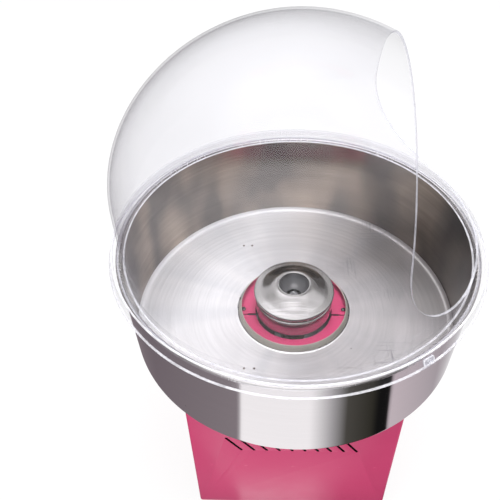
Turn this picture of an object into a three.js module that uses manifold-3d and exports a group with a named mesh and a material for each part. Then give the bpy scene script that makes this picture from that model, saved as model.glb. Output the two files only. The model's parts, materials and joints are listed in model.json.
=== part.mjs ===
// Cotton candy machine: a pink cabinet with a motor-driven spinner head on top, a stainless bowl
// round the head and a clear cover over the bowl. Millimetres, +Z up, origin on the counter under
// the middle of the machine. The operator stands at +X, in front of the controls, the drawer and
// the opening of the cover.
import * as THREE from 'three';
import { mergeVertices } from 'three/addons/utils/BufferGeometryUtils.js';
import Module from 'manifold-3d';

const wasm = await Module();
wasm.setup();

// ---- driving dimensions ---------------------------------------------------------------------

const GAP = 0.3; // between pieces that touch
const ROUND = 48; // facets round the bowl and the cover

// heights above the counter
const FOOT_HEIGHT = 22;
const TOP_PLATE_TOP = 360.4;
const BOWL_UNDERSIDE = 361.0;
const RIM_TOP = 520;
const HEAD_LIP_Z = 407.7;

// cabinet
const CABINET_HALF = 164.5; // the cabinet is square
const SHEET = 2;
const CORNER_RADIUS = 5;
const CORNER_RETURN = 14; // the side panels wrap round the corners by this much
const TOP_HOLE_RADIUS = 61.65;
const TOP_SEAM_Y = -11;
const SEAM_WIDTH = 1.4;
const SEAM_RELIEF = 1.7; // half the width of the short notch at each end of the seam
const SHELF_TOP = 162;
const SHELF_FLANGE = 16;

// vent slots in the side panels
const SLOT_COUNT = 10;
const SLOT_PITCH = 20.55;
const SLOT_LENGTH = 46;
const SLOT_WIDTH = 4.2;
const SLOT_ANGLE = 56.3; // degrees from the horizontal
const SLOT_FIRST_X = -81.8; // lower end of the first slot
const SLOT_LOW_Z = 203;

// bowl
const BOWL_SHEET = 1.6;
const BOWL_FLOOR = BOWL_UNDERSIDE + BOWL_SHEET;
const BOWL_FLOOR_RADIUS = 250.3;
const BOWL_MOUTH_RADIUS = 255.8;
const BOWL_FILLET = 7;
const BEAD_RADIUS = 3.5; // the rim is rolled round a wire
const COLLAR_BASE_RADIUS = 89.5;
const COLLAR_TOP_RADIUS = 85.2;
const COLLAR_HEIGHT = 10.9;

// clear cover
const COVER_WALL = 3;
const COVER_RADIUS = 249.8;
const COVER_SHOULDER_Z = 630;
const COVER_CAP_HEIGHT = 208;
const COVER_CAP_POWER = 1.85; // of the superellipse that the cap follows
const COVER_FILLET = 4;
const COVER_FOOT_Z = 518.5; // the wall reaches down into the ring of the bowl's rim
const FLANGE_Z = 533; // top of the flat flange over the bowl's rim
const FLANGE_RADIUS = 263;
const RIB_RADIUS = 256.8; // a rib under the flange stands on the bowl's rim
const SKIRT_RADIUS = 270; // the skirt slants out and down from the flange
const SKIRT_BOTTOM_Z = 512.4;
const OPENING_X = 118.5; // the opening's upper edge lies in this plane
const OPENING_TURN = -1.5; // degrees: the loose cover sits a little round from square
const OPENING_FLARE_TOP = 670; // below this height the opening widens as a quarter ellipse
const OPENING_SILL = 545;
const OPENING_SILL_X = 235;
const CATCH_AZIMUTH = -55.5; // degrees round from the front
const CATCH_RADIUS = 267.6;
const CATCH_Z = 524.6;

// spinner head
const HEAD_RADIUS = 63;
const HEAD_MOUTH_RADIUS = 23.4;
const HEAD_MOUTH_RIM = 26.5;
const HEAD_MOUTH_Z = 422;
const FUNNEL_HOLE_RADIUS = 12;
const FUNNEL_Z = 397;
const CUP_RADIUS = 61.2;
const CUP_BOTTOM_Z = 363.6;
const BAND_BOTTOM_Z = 397.4;
const BAND_TOP_Z = 402.8;
const BAND_SLOTS = 16;

// drive line
const SHAFT_RADIUS = 6;
const MOTOR_BASE_Z = 196;
const MOTOR_TOP_Z = 282;
const MOTOR_RADIUS = 46;
const HUB_BOTTOM_Z = 300;
const HUB_TOP_Z = 346;
const RING_RADIUS = 22;
const RING_HEIGHT = 10;
const RING_LEVELS = [310, 330];

// drawer and controls
const DRAWER_HALF = 117;
const DRAWER_BACK_X = -120;
const DRAWER_FLOOR_Z = 44;
const DRAWER_HEIGHT = 88;
const PANEL_FACE = CABINET_HALF;
const CONTROL_Z = 258;
const CONTROL_HALF = [92, 38];
const METER_HALF = [33, 29];
const SWITCH_Y = 62;
const SWITCH_HALF = [14, 19];
const ROCKER_TILT = 8; // degrees: the rockers rest tipped to the off side

// ---- materials ------------------------------------------------------------------------------

function finish(color, roughness, metalness, opacity = 1) {
  return new THREE.MeshStandardMaterial({ color, roughness, metalness, opacity, transparent: opacity < 1 });
}

const PINK = finish(0xc8577a, 0.38, 0.0);
const STEEL = finish(0xc9c9cc, 0.22, 1.0);
const POLISHED = finish(0xdedede, 0.12, 1.0);
const ZINC = finish(0xa9adb0, 0.45, 0.9);
const ALUMINIUM = finish(0xc4c6c8, 0.4, 1.0);
const BRASS = finish(0xb8974a, 0.3, 1.0);
const COPPER_DARK = finish(0x4a3a34, 0.6, 0.6);
const BLACK = finish(0x151517, 0.45, 0.0);
const GLOSS_BLACK = finish(0x0d0d0f, 0.2, 0.0);
const RUBBER = finish(0x1c1c1c, 0.85, 0.0);
const WHITE = finish(0xf1f1ec, 0.5, 0.0);
const RED = finish(0xc02020, 0.3, 0.0);
const PHENOLIC = finish(0x5a3a22, 0.6, 0.0);
const CARBON = finish(0x2b2b2d, 0.7, 0.1);
const CLEAR = finish(0xf2f6f8, 0.05, 0.0, 0.25);

// ---- solids ---------------------------------------------------------------------------------

const machine = new THREE.Group();

function add(name, geometry, material, parent = machine) {
  const mesh = new THREE.Mesh(geometry, material);
  mesh.name = name;
  parent.add(mesh);
  return mesh;
}

function bare(geometry) {
  const copy = geometry.clone();
  copy.deleteAttribute('normal');
  copy.deleteAttribute('uv');
  return mergeVertices(copy, 1e-4);
}

function signedVolume(geometry) {
  const position = geometry.attributes.position;
  const index = geometry.index.array;
  const [a, b, c] = [new THREE.Vector3(), new THREE.Vector3(), new THREE.Vector3()];
  let volume = 0;
  for (let i = 0; i < index.length; i += 3) {
    a.fromBufferAttribute(position, index[i]);
    b.fromBufferAttribute(position, index[i + 1]);
    c.fromBufferAttribute(position, index[i + 2]);
    volume += a.dot(b.cross(c)) / 6;
  }
  return volume;
}

// A closed geometry with merged corners and its faces pointing out.
function outward(geometry) {
  const merged = bare(geometry);
  if (signedVolume(merged) < 0) {
    const index = merged.index.array;
    for (let i = 0; i < index.length; i += 3) {
      [index[i + 1], index[i + 2]] = [index[i + 2], index[i + 1]];
    }
  }
  return merged;
}

function toSolid(geometry) {
  const closed = outward(geometry);
  const mesh = new wasm.Mesh({
    numProp: 3,
    vertProperties: closed.attributes.position.array,
    triVerts: new Uint32Array(closed.index.array),
  });
  return new wasm.Manifold(mesh);
}

function toGeometry(solid) {
  const mesh = solid.getMesh();
  const geometry = new THREE.BufferGeometry();
  geometry.setAttribute('position', new THREE.BufferAttribute(mesh.vertProperties, 3));
  geometry.setIndex(new THREE.BufferAttribute(mesh.triVerts, 1));
  return geometry;
}

function cut(geometry, ...tools) {
  return toGeometry(tools.reduce((solid, tool) => solid.subtract(toSolid(tool)), toSolid(geometry)));
}

function join(geometry, ...others) {
  return toGeometry(others.reduce((solid, other) => solid.add(toSolid(other)), toSolid(geometry)));
}

function box([x0, x1], [y0, y1], [z0, z1]) {
  const geometry = new THREE.BoxGeometry(x1 - x0, y1 - y0, z1 - z0);
  return outward(geometry.translate((x0 + x1) / 2, (y0 + y1) / 2, (z0 + z1) / 2));
}

// A solid of revolution about a vertical line, from a closed list of [radius, z] points.
function lathe(outline, segments, at = [0, 0]) {
  const points = [...outline, outline[0]].map(([r, z]) => new THREE.Vector2(r, z));
  const geometry = new THREE.LatheGeometry(points, segments);
  return outward(geometry.rotateX(Math.PI / 2).translate(at[0], at[1], 0));
}

// A ring, or a disc when inner is 0, between two heights.
function ring(outer, inner, z0, z1, segments = 32, at = [0, 0]) {
  if (inner === 0) {
    return rod('z', outer, z0, z1, [at[0], at[1]], segments);
  }
  return lathe([[inner, z0], [outer, z0], [outer, z1], [inner, z1]], segments, at);
}

// A round bar along x, y or z, from one place on that axis to another, at the two other coordinates.
function rod(axis, radius, from, to, at, segments = 24) {
  const geometry = new THREE.CylinderGeometry(radius, radius, to - from, segments);
  const middle = (from + to) / 2;
  if (axis === 'z') {
    geometry.rotateX(Math.PI / 2).translate(at[0], at[1], middle);
  } else if (axis === 'y') {
    geometry.translate(at[0], middle, at[1]);
  } else {
    geometry.rotateZ(Math.PI / 2).translate(middle, at[0], at[1]);
  }
  return outward(geometry);
}

// An outline in the XY plane, raised between two heights.
function raised(shape, z0, z1, curveSegments = 6) {
  const geometry = new THREE.ExtrudeGeometry(shape, { depth: z1 - z0, bevelEnabled: false, curveSegments });
  return outward(geometry.translate(0, 0, z0));
}

// An outline in the XZ plane, spread from y0 to y1.
function spreadY(shape, y0, y1, curveSegments = 6) {
  const geometry = new THREE.ExtrudeGeometry(shape, { depth: y1 - y0, bevelEnabled: false, curveSegments });
  return outward(geometry.rotateX(Math.PI / 2).translate(0, y1, 0));
}

// An outline in the YZ plane, spread from x0 to x1.
function spreadX(shape, x0, x1, curveSegments = 6) {
  const geometry = new THREE.ExtrudeGeometry(shape, { depth: x1 - x0, bevelEnabled: false, curveSegments });
  return outward(geometry.rotateX(Math.PI / 2).rotateZ(Math.PI / 2).translate(x0, 0, 0));
}

function outlineOf(points) {
  return new THREE.Shape(points.map(([u, v]) => new THREE.Vector2(u, v)));
}

// A rectangle with round corners, centred on (u, v).
function roundedRectangle(u, v, halfWidth, halfHeight, radius) {
  const shape = new THREE.Shape();
  shape.absarc(u + halfWidth - radius, v - halfHeight + radius, radius, -Math.PI / 2, 0);
  shape.absarc(u + halfWidth - radius, v + halfHeight - radius, radius, 0, Math.PI / 2);
  shape.absarc(u - halfWidth + radius, v + halfHeight - radius, radius, Math.PI / 2, Math.PI);
  shape.absarc(u - halfWidth + radius, v - halfHeight + radius, radius, Math.PI, 1.5 * Math.PI);
  return shape;
}

// Points on an arc, from one angle to another in degrees.
function arc([u, v], radius, from, to, steps) {
  return Array.from({ length: steps + 1 }, (_, i) => {
    const angle = THREE.MathUtils.degToRad(from + ((to - from) * i) / steps);
    return [u + radius * Math.cos(angle), v + radius * Math.sin(angle)];
  });
}

// ---- cabinet --------------------------------------------------------------------------------

// A slanted slot with round ends that goes through a side panel, its lower end at (x, z).
function ventSlot(x, z) {
  const radius = SLOT_WIDTH / 2;
  const shape = new THREE.Shape();
  shape.absarc(SLOT_LENGTH - radius, 0, radius, -Math.PI / 2, Math.PI / 2);
  shape.absarc(radius, 0, radius, Math.PI / 2, 1.5 * Math.PI);
  const slant = THREE.MathUtils.degToRad(180 - SLOT_ANGLE);
  const depth = 10 * SHEET;
  const geometry = new THREE.ExtrudeGeometry(shape, { depth, bevelEnabled: false, curveSegments: 3 });
  geometry.rotateZ(slant).rotateX(Math.PI / 2);
  return geometry.translate(x, -CABINET_HALF + depth / 2, z);
}

// The left panel: a wall with its two upright corners bent round onto the front and the back.
function sidePanel() {
  const h = CABINET_HALF;
  const r = CORNER_RADIUS;
  const inner = r - SHEET;
  const shape = new THREE.Shape();
  shape.moveTo(-h, -h + CORNER_RETURN);
  shape.absarc(-h + r, -h + r, r, Math.PI, 1.5 * Math.PI);
  shape.absarc(h - r, -h + r, r, 1.5 * Math.PI, 2 * Math.PI);
  shape.lineTo(h, -h + CORNER_RETURN);
  shape.lineTo(h - SHEET, -h + CORNER_RETURN);
  shape.absarc(h - r, -h + r, inner, 2 * Math.PI, 1.5 * Math.PI, true);
  shape.absarc(-h + r, -h + r, inner, 1.5 * Math.PI, Math.PI, true);
  shape.lineTo(-h + SHEET, -h + CORNER_RETURN);
  const wall = raised(shape, FOOT_HEIGHT, TOP_PLATE_TOP - SHEET - GAP, 3);
  const slots = Array.from({ length: SLOT_COUNT }, (_, i) => {
    return ventSlot(SLOT_FIRST_X + i * SLOT_PITCH, SLOT_LOW_Z);
  });
  return cut(wall, ...slots);
}

function addSidePanels() {
  const panel = sidePanel();
  add('side_panel_left', panel, PINK);
  add('side_panel_right', outward(panel.clone().rotateZ(Math.PI)), PINK);
}

// Half of the cabinet's top, on one side of the seam, with its half of the round hole.
function addTopPlates() {
  const edge = CABINET_HALF;
  const low = TOP_PLATE_TOP - SHEET;
  const hole = rod('z', TOP_HOLE_RADIUS, low - 5, TOP_PLATE_TOP + 5, [0, 0], 48);
  const reliefY = [TOP_SEAM_Y - SEAM_RELIEF, TOP_SEAM_Y + SEAM_RELIEF];
  const reliefs = [-66, 66].map((x) => box([x - 8, x + 8], reliefY, [low - 5, TOP_PLATE_TOP + 5]));
  const screwHole = (x) => rod('z', 2.4, low - 5, TOP_PLATE_TOP + 5, [x, 0], 12);
  const left = box([-edge, edge], [-edge, TOP_SEAM_Y - SEAM_WIDTH / 2], [low, TOP_PLATE_TOP]);
  const right = box([-edge, edge], [TOP_SEAM_Y + SEAM_WIDTH / 2, edge], [low, TOP_PLATE_TOP]);
  add('top_plate_left', cut(left, hole, ...reliefs), PINK);
  add('top_plate_right', cut(right, hole, ...reliefs, screwHole(-81), screwHole(81)), PINK);
}

// A pan-head screw with a cross slot, standing on z.
function panScrew(x, y, z) {
  const head = lathe([[0, z], [4, z], [4, z + 1], [3.1, z + 2], [0, z + 2.5]], 16, [x, y]);
  const shank = rod('z', 2, z - 8, z + 0.5, [x, y], 12);
  const slotA = box([x - 2, x + 2], [y - 0.4, y + 0.4], [z + 1.5, z + 4]);
  const slotB = box([x - 0.4, x + 0.4], [y - 2, y + 2], [z + 1.5, z + 4]);
  return cut(join(head, shank), slotA, slotB);
}

function addSeamScrews() {
  add('seam_screw_front', panScrew(81, 0, TOP_PLATE_TOP + GAP), ZINC);
  add('seam_screw_back', panScrew(-81, 0, TOP_PLATE_TOP + GAP), ZINC);
}

const INSIDE = CABINET_HALF - SHEET - GAP;

function addBase() {
  const z0 = FOOT_HEIGHT + GAP;
  const plate = box([-INSIDE, INSIDE], [-INSIDE, INSIDE], [z0, z0 + SHEET]);
  const corners = [-1, 1].flatMap((sx) => [-1, 1].map((sy) => [sx, sy]));
  const cornerCuts = corners.map(([sx, sy]) => {
    const x = [INSIDE - 4, INSIDE + 1].map((v) => v * sx).sort((a, b) => a - b);
    const y = [INSIDE - 4, INSIDE + 1].map((v) => v * sy).sort((a, b) => a - b);
    return box(x, y, [z0 - 1, z0 + SHEET + 1]);
  });
  const vents = [-40, -20, 0, 20, 40].map((y) => {
    return box([-145, -85], [y - 2.5, y + 2.5], [z0 - 1, z0 + SHEET + 1]);
  });
  add('base_plate', cut(plate, ...cornerCuts, ...vents), ZINC);
}

function addFeet() {
  const at = CABINET_HALF - 26;
  const foot = [[0, 0], [14, 0], [16, 2], [13, FOOT_HEIGHT - GAP], [0, FOOT_HEIGHT - GAP]];
  const places = [
    ['front_left', [at, -at]],
    ['front_right', [at, at]],
    ['back_left', [-at, -at]],
    ['back_right', [-at, at]],
  ];
  for (const [name, place] of places) {
    add(`foot_${name}`, lathe(foot, 16, place), RUBBER);
  }
}

// A shelf across the cabinet, its down-turned edges welded to the side panels.
function addShelf() {
  const span = INSIDE;
  const low = SHELF_TOP - SHEET;
  const shape = outlineOf([
    [-span, low - SHELF_FLANGE], [-span + SHEET, low - SHELF_FLANGE], [-span + SHEET, low],
    [span - SHEET, low], [span - SHEET, low - SHELF_FLANGE], [span, low - SHELF_FLANGE],
    [span, SHELF_TOP], [-span, SHELF_TOP],
  ]);
  add('motor_shelf', spreadX(shape, -INSIDE + 6, INSIDE - 6), ZINC);
}

const PANEL_Z = [FOOT_HEIGHT, TOP_PLATE_TOP - SHEET - GAP];

function addFrontPanel() {
  const y = CABINET_HALF - CORNER_RETURN - GAP;
  const panel = box([PANEL_FACE - SHEET, PANEL_FACE], [-y, y], PANEL_Z);
  const through = [PANEL_FACE - 10, PANEL_FACE + 10];
  const drawerHole = box(through, [-DRAWER_HALF - 3, DRAWER_HALF + 3], [38, 142]);
  const meterHole = rod('x', 27, ...through, [0, CONTROL_Z], 32);
  const switchHoles = [-1, 1].map((side) => {
    const c = side * SWITCH_Y;
    return box(through, [c - 11.5, c + 11.5], [CONTROL_Z - 16, CONTROL_Z + 16]);
  });
  add('front_panel', cut(panel, drawerHole, meterHole, ...switchHoles), PINK);
}

function addBackPanel() {
  const y = CABINET_HALF - CORNER_RETURN - GAP;
  const panel = box([-PANEL_FACE, -PANEL_FACE + SHEET], [-y, y], PANEL_Z);
  const through = [-PANEL_FACE - 10, -PANEL_FACE + 10];
  const inletHole = box(through, [-84, -56], [187, 213]);
  const fuseHole = rod('x', 6.6, ...through, [-30, 200], 20);
  const vents = [250, 264, 278, 292, 306, 320].map((z) => box(through, [-45, 45], [z, z + 4]));
  add('back_panel', cut(panel, inletHole, fuseHole, ...vents), PINK);
}

// ---- drawer ---------------------------------------------------------------------------------

function addDrawer() {
  const wall = 1.5;
  const frontX = PANEL_FACE;
  const top = DRAWER_FLOOR_Z + DRAWER_HEIGHT;
  const outer = box([DRAWER_BACK_X, frontX], [-DRAWER_HALF, DRAWER_HALF], [DRAWER_FLOOR_Z, top]);
  const hollow = box(
    [DRAWER_BACK_X + wall, frontX - wall],
    [-DRAWER_HALF + wall, DRAWER_HALF - wall],
    [DRAWER_FLOOR_Z + wall, top + 1],
  );
  add('drawer_tray', cut(outer, hollow), ZINC);

  const face = roundedRectangle(0, 91, DRAWER_HALF + 14, 59, 6);
  add('drawer_front', spreadX(face, PANEL_FACE + GAP, PANEL_FACE + GAP + 3), PINK);
  addDrawerHandle(PANEL_FACE + GAP + 3 + GAP, 96);
}

// A bow handle: a square bar bent twice, its two ends on the drawer front.
function addDrawerHandle(x, z) {
  const reach = 28;
  const half = 48;
  const bar = 8;
  const bow = outlineOf([
    [x, -half], [x + reach - 6, -half], [x + reach, -half + 6],
    [x + reach, half - 6], [x + reach - 6, half], [x, half],
    [x, half - bar], [x + reach - 9, half - bar], [x + reach - bar, half - bar - 3],
    [x + reach - bar, -half + bar + 3], [x + reach - 9, -half + bar], [x, -half + bar],
  ]);
  add('drawer_handle', raised(bow, z - 6, z + 6), BLACK);
}

function addRunners() {
  for (const [name, side] of [['left', -1], ['right', 1]]) {
    const near = side * (DRAWER_HALF - 8);
    const web = side * (DRAWER_HALF + 1.2);
    const far = side * (DRAWER_HALF + 3);
    const foot = side * (DRAWER_HALF + 18);
    const base = FOOT_HEIGHT + SHEET + 2 * GAP;
    const ledge = DRAWER_FLOOR_Z - GAP;
    const shape = outlineOf([
      [near, ledge - 1.8], [far - side * 1.8, ledge - 1.8], [far - side * 1.8, base],
      [foot, base], [foot, base + 1.8], [far, base + 1.8],
      [far, ledge + 14], [web, ledge + 14], [web, ledge], [near, ledge],
    ]);
    add(`drawer_runner_${name}`, spreadX(shape, -140, PANEL_FACE - SHEET - 1), ZINC);
  }
}

// ---- controls -------------------------------------------------------------------------------

const CONTROL_FACE = PANEL_FACE + GAP + 1.5;

function addControlPlate() {
  const outline = roundedRectangle(0, CONTROL_Z, CONTROL_HALF[0], CONTROL_HALF[1], 5);
  const plate = spreadX(outline, PANEL_FACE + GAP, CONTROL_FACE);
  const through = [PANEL_FACE - 5, CONTROL_FACE + 5];
  const meterHole = rod('x', 27, ...through, [0, CONTROL_Z], 32);
  const switchHoles = [-1, 1].map((side) => {
    const c = side * SWITCH_Y;
    return box(through, [c - 11.5, c + 11.5], [CONTROL_Z - 16, CONTROL_Z + 16]);
  });
  add('control_plate', cut(plate, meterHole, ...switchHoles), ALUMINIUM);
}

// The meter's needle turns about a line along X, low in the dial.
const NEEDLE_PIVOT_Z = CONTROL_Z - 16;

function addVoltmeter() {
  const x0 = CONTROL_FACE + GAP;
  const x1 = x0 + 10;
  const [halfWidth, halfHeight] = METER_HALF;
  const bezel = spreadX(roundedRectangle(0, CONTROL_Z, halfWidth, halfHeight, 4), x0, x1);
  const barrel = rod('x', 26, PANEL_FACE - 34, x0 + 1, [0, CONTROL_Z], 32);
  const window = roundedRectangle(0, CONTROL_Z, halfWidth - 4, halfHeight - 4, 2);
  const pocket = spreadX(window, x0 + 3, x1 + 1);
  add('voltmeter_case', cut(join(bezel, barrel), pocket), GLOSS_BLACK);

  const dial = roundedRectangle(0, CONTROL_Z, halfWidth - 4.5, halfHeight - 4.5, 2);
  add('voltmeter_dial', spreadX(dial, x0 + 3 + GAP, x0 + 4.1), WHITE);
  add('voltmeter_lens', spreadX(dial, x1 - 2, x1 - 0.6), CLEAR);

  const z = NEEDLE_PIVOT_Z;
  const blade = outlineOf([[-1.2, -4], [1.2, -4], [0.9, 0], [0.35, 31], [-0.35, 31], [-0.9, 0]]);
  const hub = rod('x', 2.6, x0 + 4.5, x0 + 6.3, [0, 0], 16);
  const needle = join(spreadX(blade, x0 + 4.7, x0 + 5.7), hub);
  const rest = THREE.MathUtils.degToRad(40); // at rest the needle lies at the left end of the scale
  needle.rotateX(rest).translate(0, 0, z);
  add('voltmeter_needle', needle, RED);
}

// A rocker switch: a bezel and body with a pocket, and a rocker that tips about a line along Y.
function addSwitch(prefix, y, rockerMaterial) {
  const x0 = CONTROL_FACE + GAP;
  const bezelX = x0 + 2.5;
  const bezel = spreadX(roundedRectangle(y, CONTROL_Z, SWITCH_HALF[0], SWITCH_HALF[1], 2), x0, bezelX);
  const body = box([PANEL_FACE - 24, x0 + 0.5], [y - 11, y + 11], [CONTROL_Z - 15.5, CONTROL_Z + 15.5]);
  const pocket = box([x0 - 9, bezelX + 1], [y - 9, y + 9], [CONTROL_Z - 13.5, CONTROL_Z + 13.5]);
  add(`${prefix}_switch_body`, cut(join(bezel, body), pocket), BLACK);

  const shape = outlineOf([
    [-6.5, 0], [-3, -8], [3, -12.4], [5.2, -12.4],
    [3.6, 0], [5.2, 12.4], [3, 12.4], [-3, 8],
  ]);
  const rocker = spreadY(shape, -8.6, 8.6);
  rocker.rotateY(THREE.MathUtils.degToRad(ROCKER_TILT)).translate(x0 + 1, y, CONTROL_Z);
  add(`${prefix}_rocker`, rocker, rockerMaterial);
}

// ---- mains side -----------------------------------------------------------------------------

function addInlet() {
  const out = -PANEL_FACE - GAP;
  const flange = spreadX(roundedRectangle(-70, 200, 20, 15, 3), out - 3, out);
  const body = box([out - 1, -PANEL_FACE + 22], [-83.5, -56.5], [187.5, 212.5]);
  const mouth = box([out - 5, out + 15], [-81.5, -58.5], [189.5, 210.5]);
  const blades = [[-77, 197], [-70, 200.5], [-63, 197]].map(([y, z]) => {
    return box([out - 1, out + 18], [y - 1, y + 1], [z, z + 4]);
  });
  add('inlet_socket', join(cut(join(flange, body), mouth), ...blades), BLACK);
}

function addFuse() {
  const out = -PANEL_FACE - GAP;
  const nut = ring(9.5, 4.4, 0, 3, 24);
  const sleeve = ring(6.2, 4.4, -30, 1, 24);
  const holder = join(nut, sleeve).rotateY(-Math.PI / 2).translate(out, -30, 200);
  add('fuse_holder', outward(holder), BLACK);
  const knob = rod('x', 7, out - 12, out - 3 - GAP, [-30, 200], 20);
  const plug = rod('x', 4, out - 4, out + 14, [-30, 200], 16);
  const grip = box([out - 13, out - 10], [-31, -29], [190, 210]);
  add('fuse_cap', cut(join(knob, plug), grip), BLACK);
}

function addTerminalBlock() {
  const base = box([-150, -126], [20, 86], [SHELF_TOP + GAP, SHELF_TOP + 12]);
  const towers = [22, 35, 48, 61, 74].map((y) => {
    return box([-148, -128], [y, y + 10], [SHELF_TOP + 10, SHELF_TOP + 20]);
  });
  add('terminal_block', join(base, ...towers), WHITE);
}

function addCapacitor() {
  const z = SHELF_TOP + GAP;
  const outline = [[0, z], [19, z], [19, z + 58], [16, z + 60], [0, z + 60]];
  add('motor_capacitor', lathe(outline, 24, [-95, -95]), ALUMINIUM);
}

// ---- motor and drive ------------------------------------------------------------------------

function addMotorMounts() {
  const z0 = SHELF_TOP + GAP;
  const plateLow = MOTOR_BASE_Z - 4;
  const z1 = plateLow - GAP;
  const mount = [[0, z0], [11, z0], [8.5, (z0 + z1) / 2], [11, z1], [0, z1]];
  const places = [[-70, -45], [70, -45], [70, 45], [-70, 45]];
  places.forEach((place, i) => {
    add(`rubber_mount_${i + 1}`, lathe(mount, 12, place), RUBBER);
  });
  const plate = raised(roundedRectangle(0, 0, 84, 60, 8), plateLow, MOTOR_BASE_Z - GAP);
  const relief = rod('z', 20, plateLow - 5, MOTOR_BASE_Z + 5, [0, 0], 32);
  add('motor_mount_plate', cut(plate, relief), ZINC);
}

function addMotor() {
  const z0 = MOTOR_BASE_Z;
  const lowBell = [
    [15.3, z0], [MOTOR_RADIUS, z0], [MOTOR_RADIUS, z0 + 14], [MOTOR_RADIUS - 5, z0 + 14],
    [MOTOR_RADIUS - 5, z0 + 4], [20, z0 + 4], [20, z0 + 10], [15.3, z0 + 10],
  ];
  const highBell = lowBell.map(([r, z]) => [r, z0 + MOTOR_TOP_Z - z]);
  add('motor_bell_lower', lathe(lowBell, 24), ALUMINIUM);
  add('motor_bell_upper', lathe(highBell, 24), ALUMINIUM);
  const canLow = z0 + 14 + GAP;
  const canHigh = MOTOR_TOP_Z - 14 - GAP;
  const bore = SHAFT_RADIUS + GAP;
  add('motor_can', ring(MOTOR_RADIUS, 31, canLow, canHigh, 24), BLACK);
  add('motor_rotor', ring(30, bore, z0 + 16, MOTOR_TOP_Z - 16, 24), COPPER_DARK);
  add('bearing_lower', ring(15, bore, z0 + 1, z0 + 9, 24), STEEL);
  add('bearing_upper', ring(15, bore, MOTOR_TOP_Z - 9, MOTOR_TOP_Z - 1, 24), STEEL);
}

function addShaft() {
  const top = FUNNEL_Z - 4;
  const low = MOTOR_BASE_Z - 2;
  const outline = [
    [0, low], [SHAFT_RADIUS - 1, low], [SHAFT_RADIUS, low + 1],
    [SHAFT_RADIUS, top - 1], [SHAFT_RADIUS - 1, top], [0, top],
  ];
  add('spin_shaft', lathe(outline, 20), STEEL);
}

function addSlipRings() {
  const bore = SHAFT_RADIUS + GAP;
  const core = RING_RADIUS - 4;
  const flange = RING_RADIUS - 1;
  const outline = [
    [bore, HUB_BOTTOM_Z], [flange, HUB_BOTTOM_Z], [flange, HUB_BOTTOM_Z + 4],
    [core, HUB_BOTTOM_Z + 4], [core, HUB_TOP_Z - 4],
    [flange, HUB_TOP_Z - 4], [flange, HUB_TOP_Z], [bore, HUB_TOP_Z],
  ];
  add('slip_ring_hub', lathe(outline, 24), PHENOLIC);
  const names = ['slip_ring_lower', 'slip_ring_upper'];
  RING_LEVELS.forEach((z, i) => {
    add(names[i], ring(RING_RADIUS, core + GAP, z - RING_HEIGHT / 2, z + RING_HEIGHT / 2, 24), BRASS);
  });
}

// Two carbon brushes press on the slip rings from an insulating block on a bracket.
function addBrushes() {
  const low = RING_LEVELS[0] - 10;
  const high = RING_LEVELS[1] + 10;
  const block = box([-58, -30], [-10, 10], [low, high]);
  const channels = RING_LEVELS.map((z) => box([-53, -20], [-4.3, 4.3], [z - 4.3, z + 4.3]));
  add('brush_block', cut(block, ...channels), PHENOLIC);
  const names = ['brush_lower', 'brush_upper'];
  RING_LEVELS.forEach((z, i) => {
    add(names[i], box([-46, -RING_RADIUS - GAP], [-4, 4], [z - 4, z + 4]), CARBON);
  });
  const shape = outlineOf([
    [-60.3, high - 6], [-58.3, high - 6], [-58.3, MOTOR_TOP_Z + 2.3], [-38, MOTOR_TOP_Z + 2.3],
    [-38, MOTOR_TOP_Z + GAP], [-60.3, MOTOR_TOP_Z + GAP],
  ]);
  add('brush_bracket', spreadY(shape, -10, 10), ZINC);
}

// ---- spinner head ---------------------------------------------------------------------------

// The lower cup: a boss on the shaft, a flat floor and a nearly upright wall up to the slotted band.
function addHeadCup() {
  const bore = SHAFT_RADIUS + GAP;
  const z0 = CUP_BOTTOM_Z;
  const lip = BAND_BOTTOM_Z - GAP;
  const outer = [
    [55.8, z0], [58.7, z0 + 1.4], [60, z0 + 4.5], [60.7, z0 + 11],
    [CUP_RADIUS, z0 + 22], [CUP_RADIUS, lip],
  ];
  const inner = outer.map(([r, z]) => [r - 1.8, Math.max(z, z0 + 1.8)]).reverse();
  const boss = [
    [14, z0 + 1.8], [14, z0 + 12], [bore, z0 + 12],
    [bore, z0 - 14], [14, z0 - 14], [16, z0],
  ];
  add('head_cup', lathe([...outer, ...inner, ...boss], 32), POLISHED);
}

// A thin ring with upright slots, through which the floss leaves the head.
function addFlossBand() {
  const band = ring(CUP_RADIUS - 1.2, CUP_RADIUS - 2.8, BAND_BOTTOM_Z, BAND_TOP_Z, 32);
  const slots = Array.from({ length: BAND_SLOTS }, (_, i) => {
    const slot = new THREE.BoxGeometry(8, 2.4, BAND_TOP_Z - BAND_BOTTOM_Z - 2);
    slot.translate(CUP_RADIUS - 2, 0, (BAND_BOTTOM_Z + BAND_TOP_Z) / 2);
    return slot.rotateZ(((i + 0.5) * 2 * Math.PI) / BAND_SLOTS);
  });
  add('floss_band', cut(band, ...slots), COPPER_DARK);
}

function addHeater() {
  const section = arc([50, BAND_BOTTOM_Z + 0.5], 3, 0, 300, 5);
  add('heater_ring', lathe(section, 24), COPPER_DARK);
}

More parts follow.
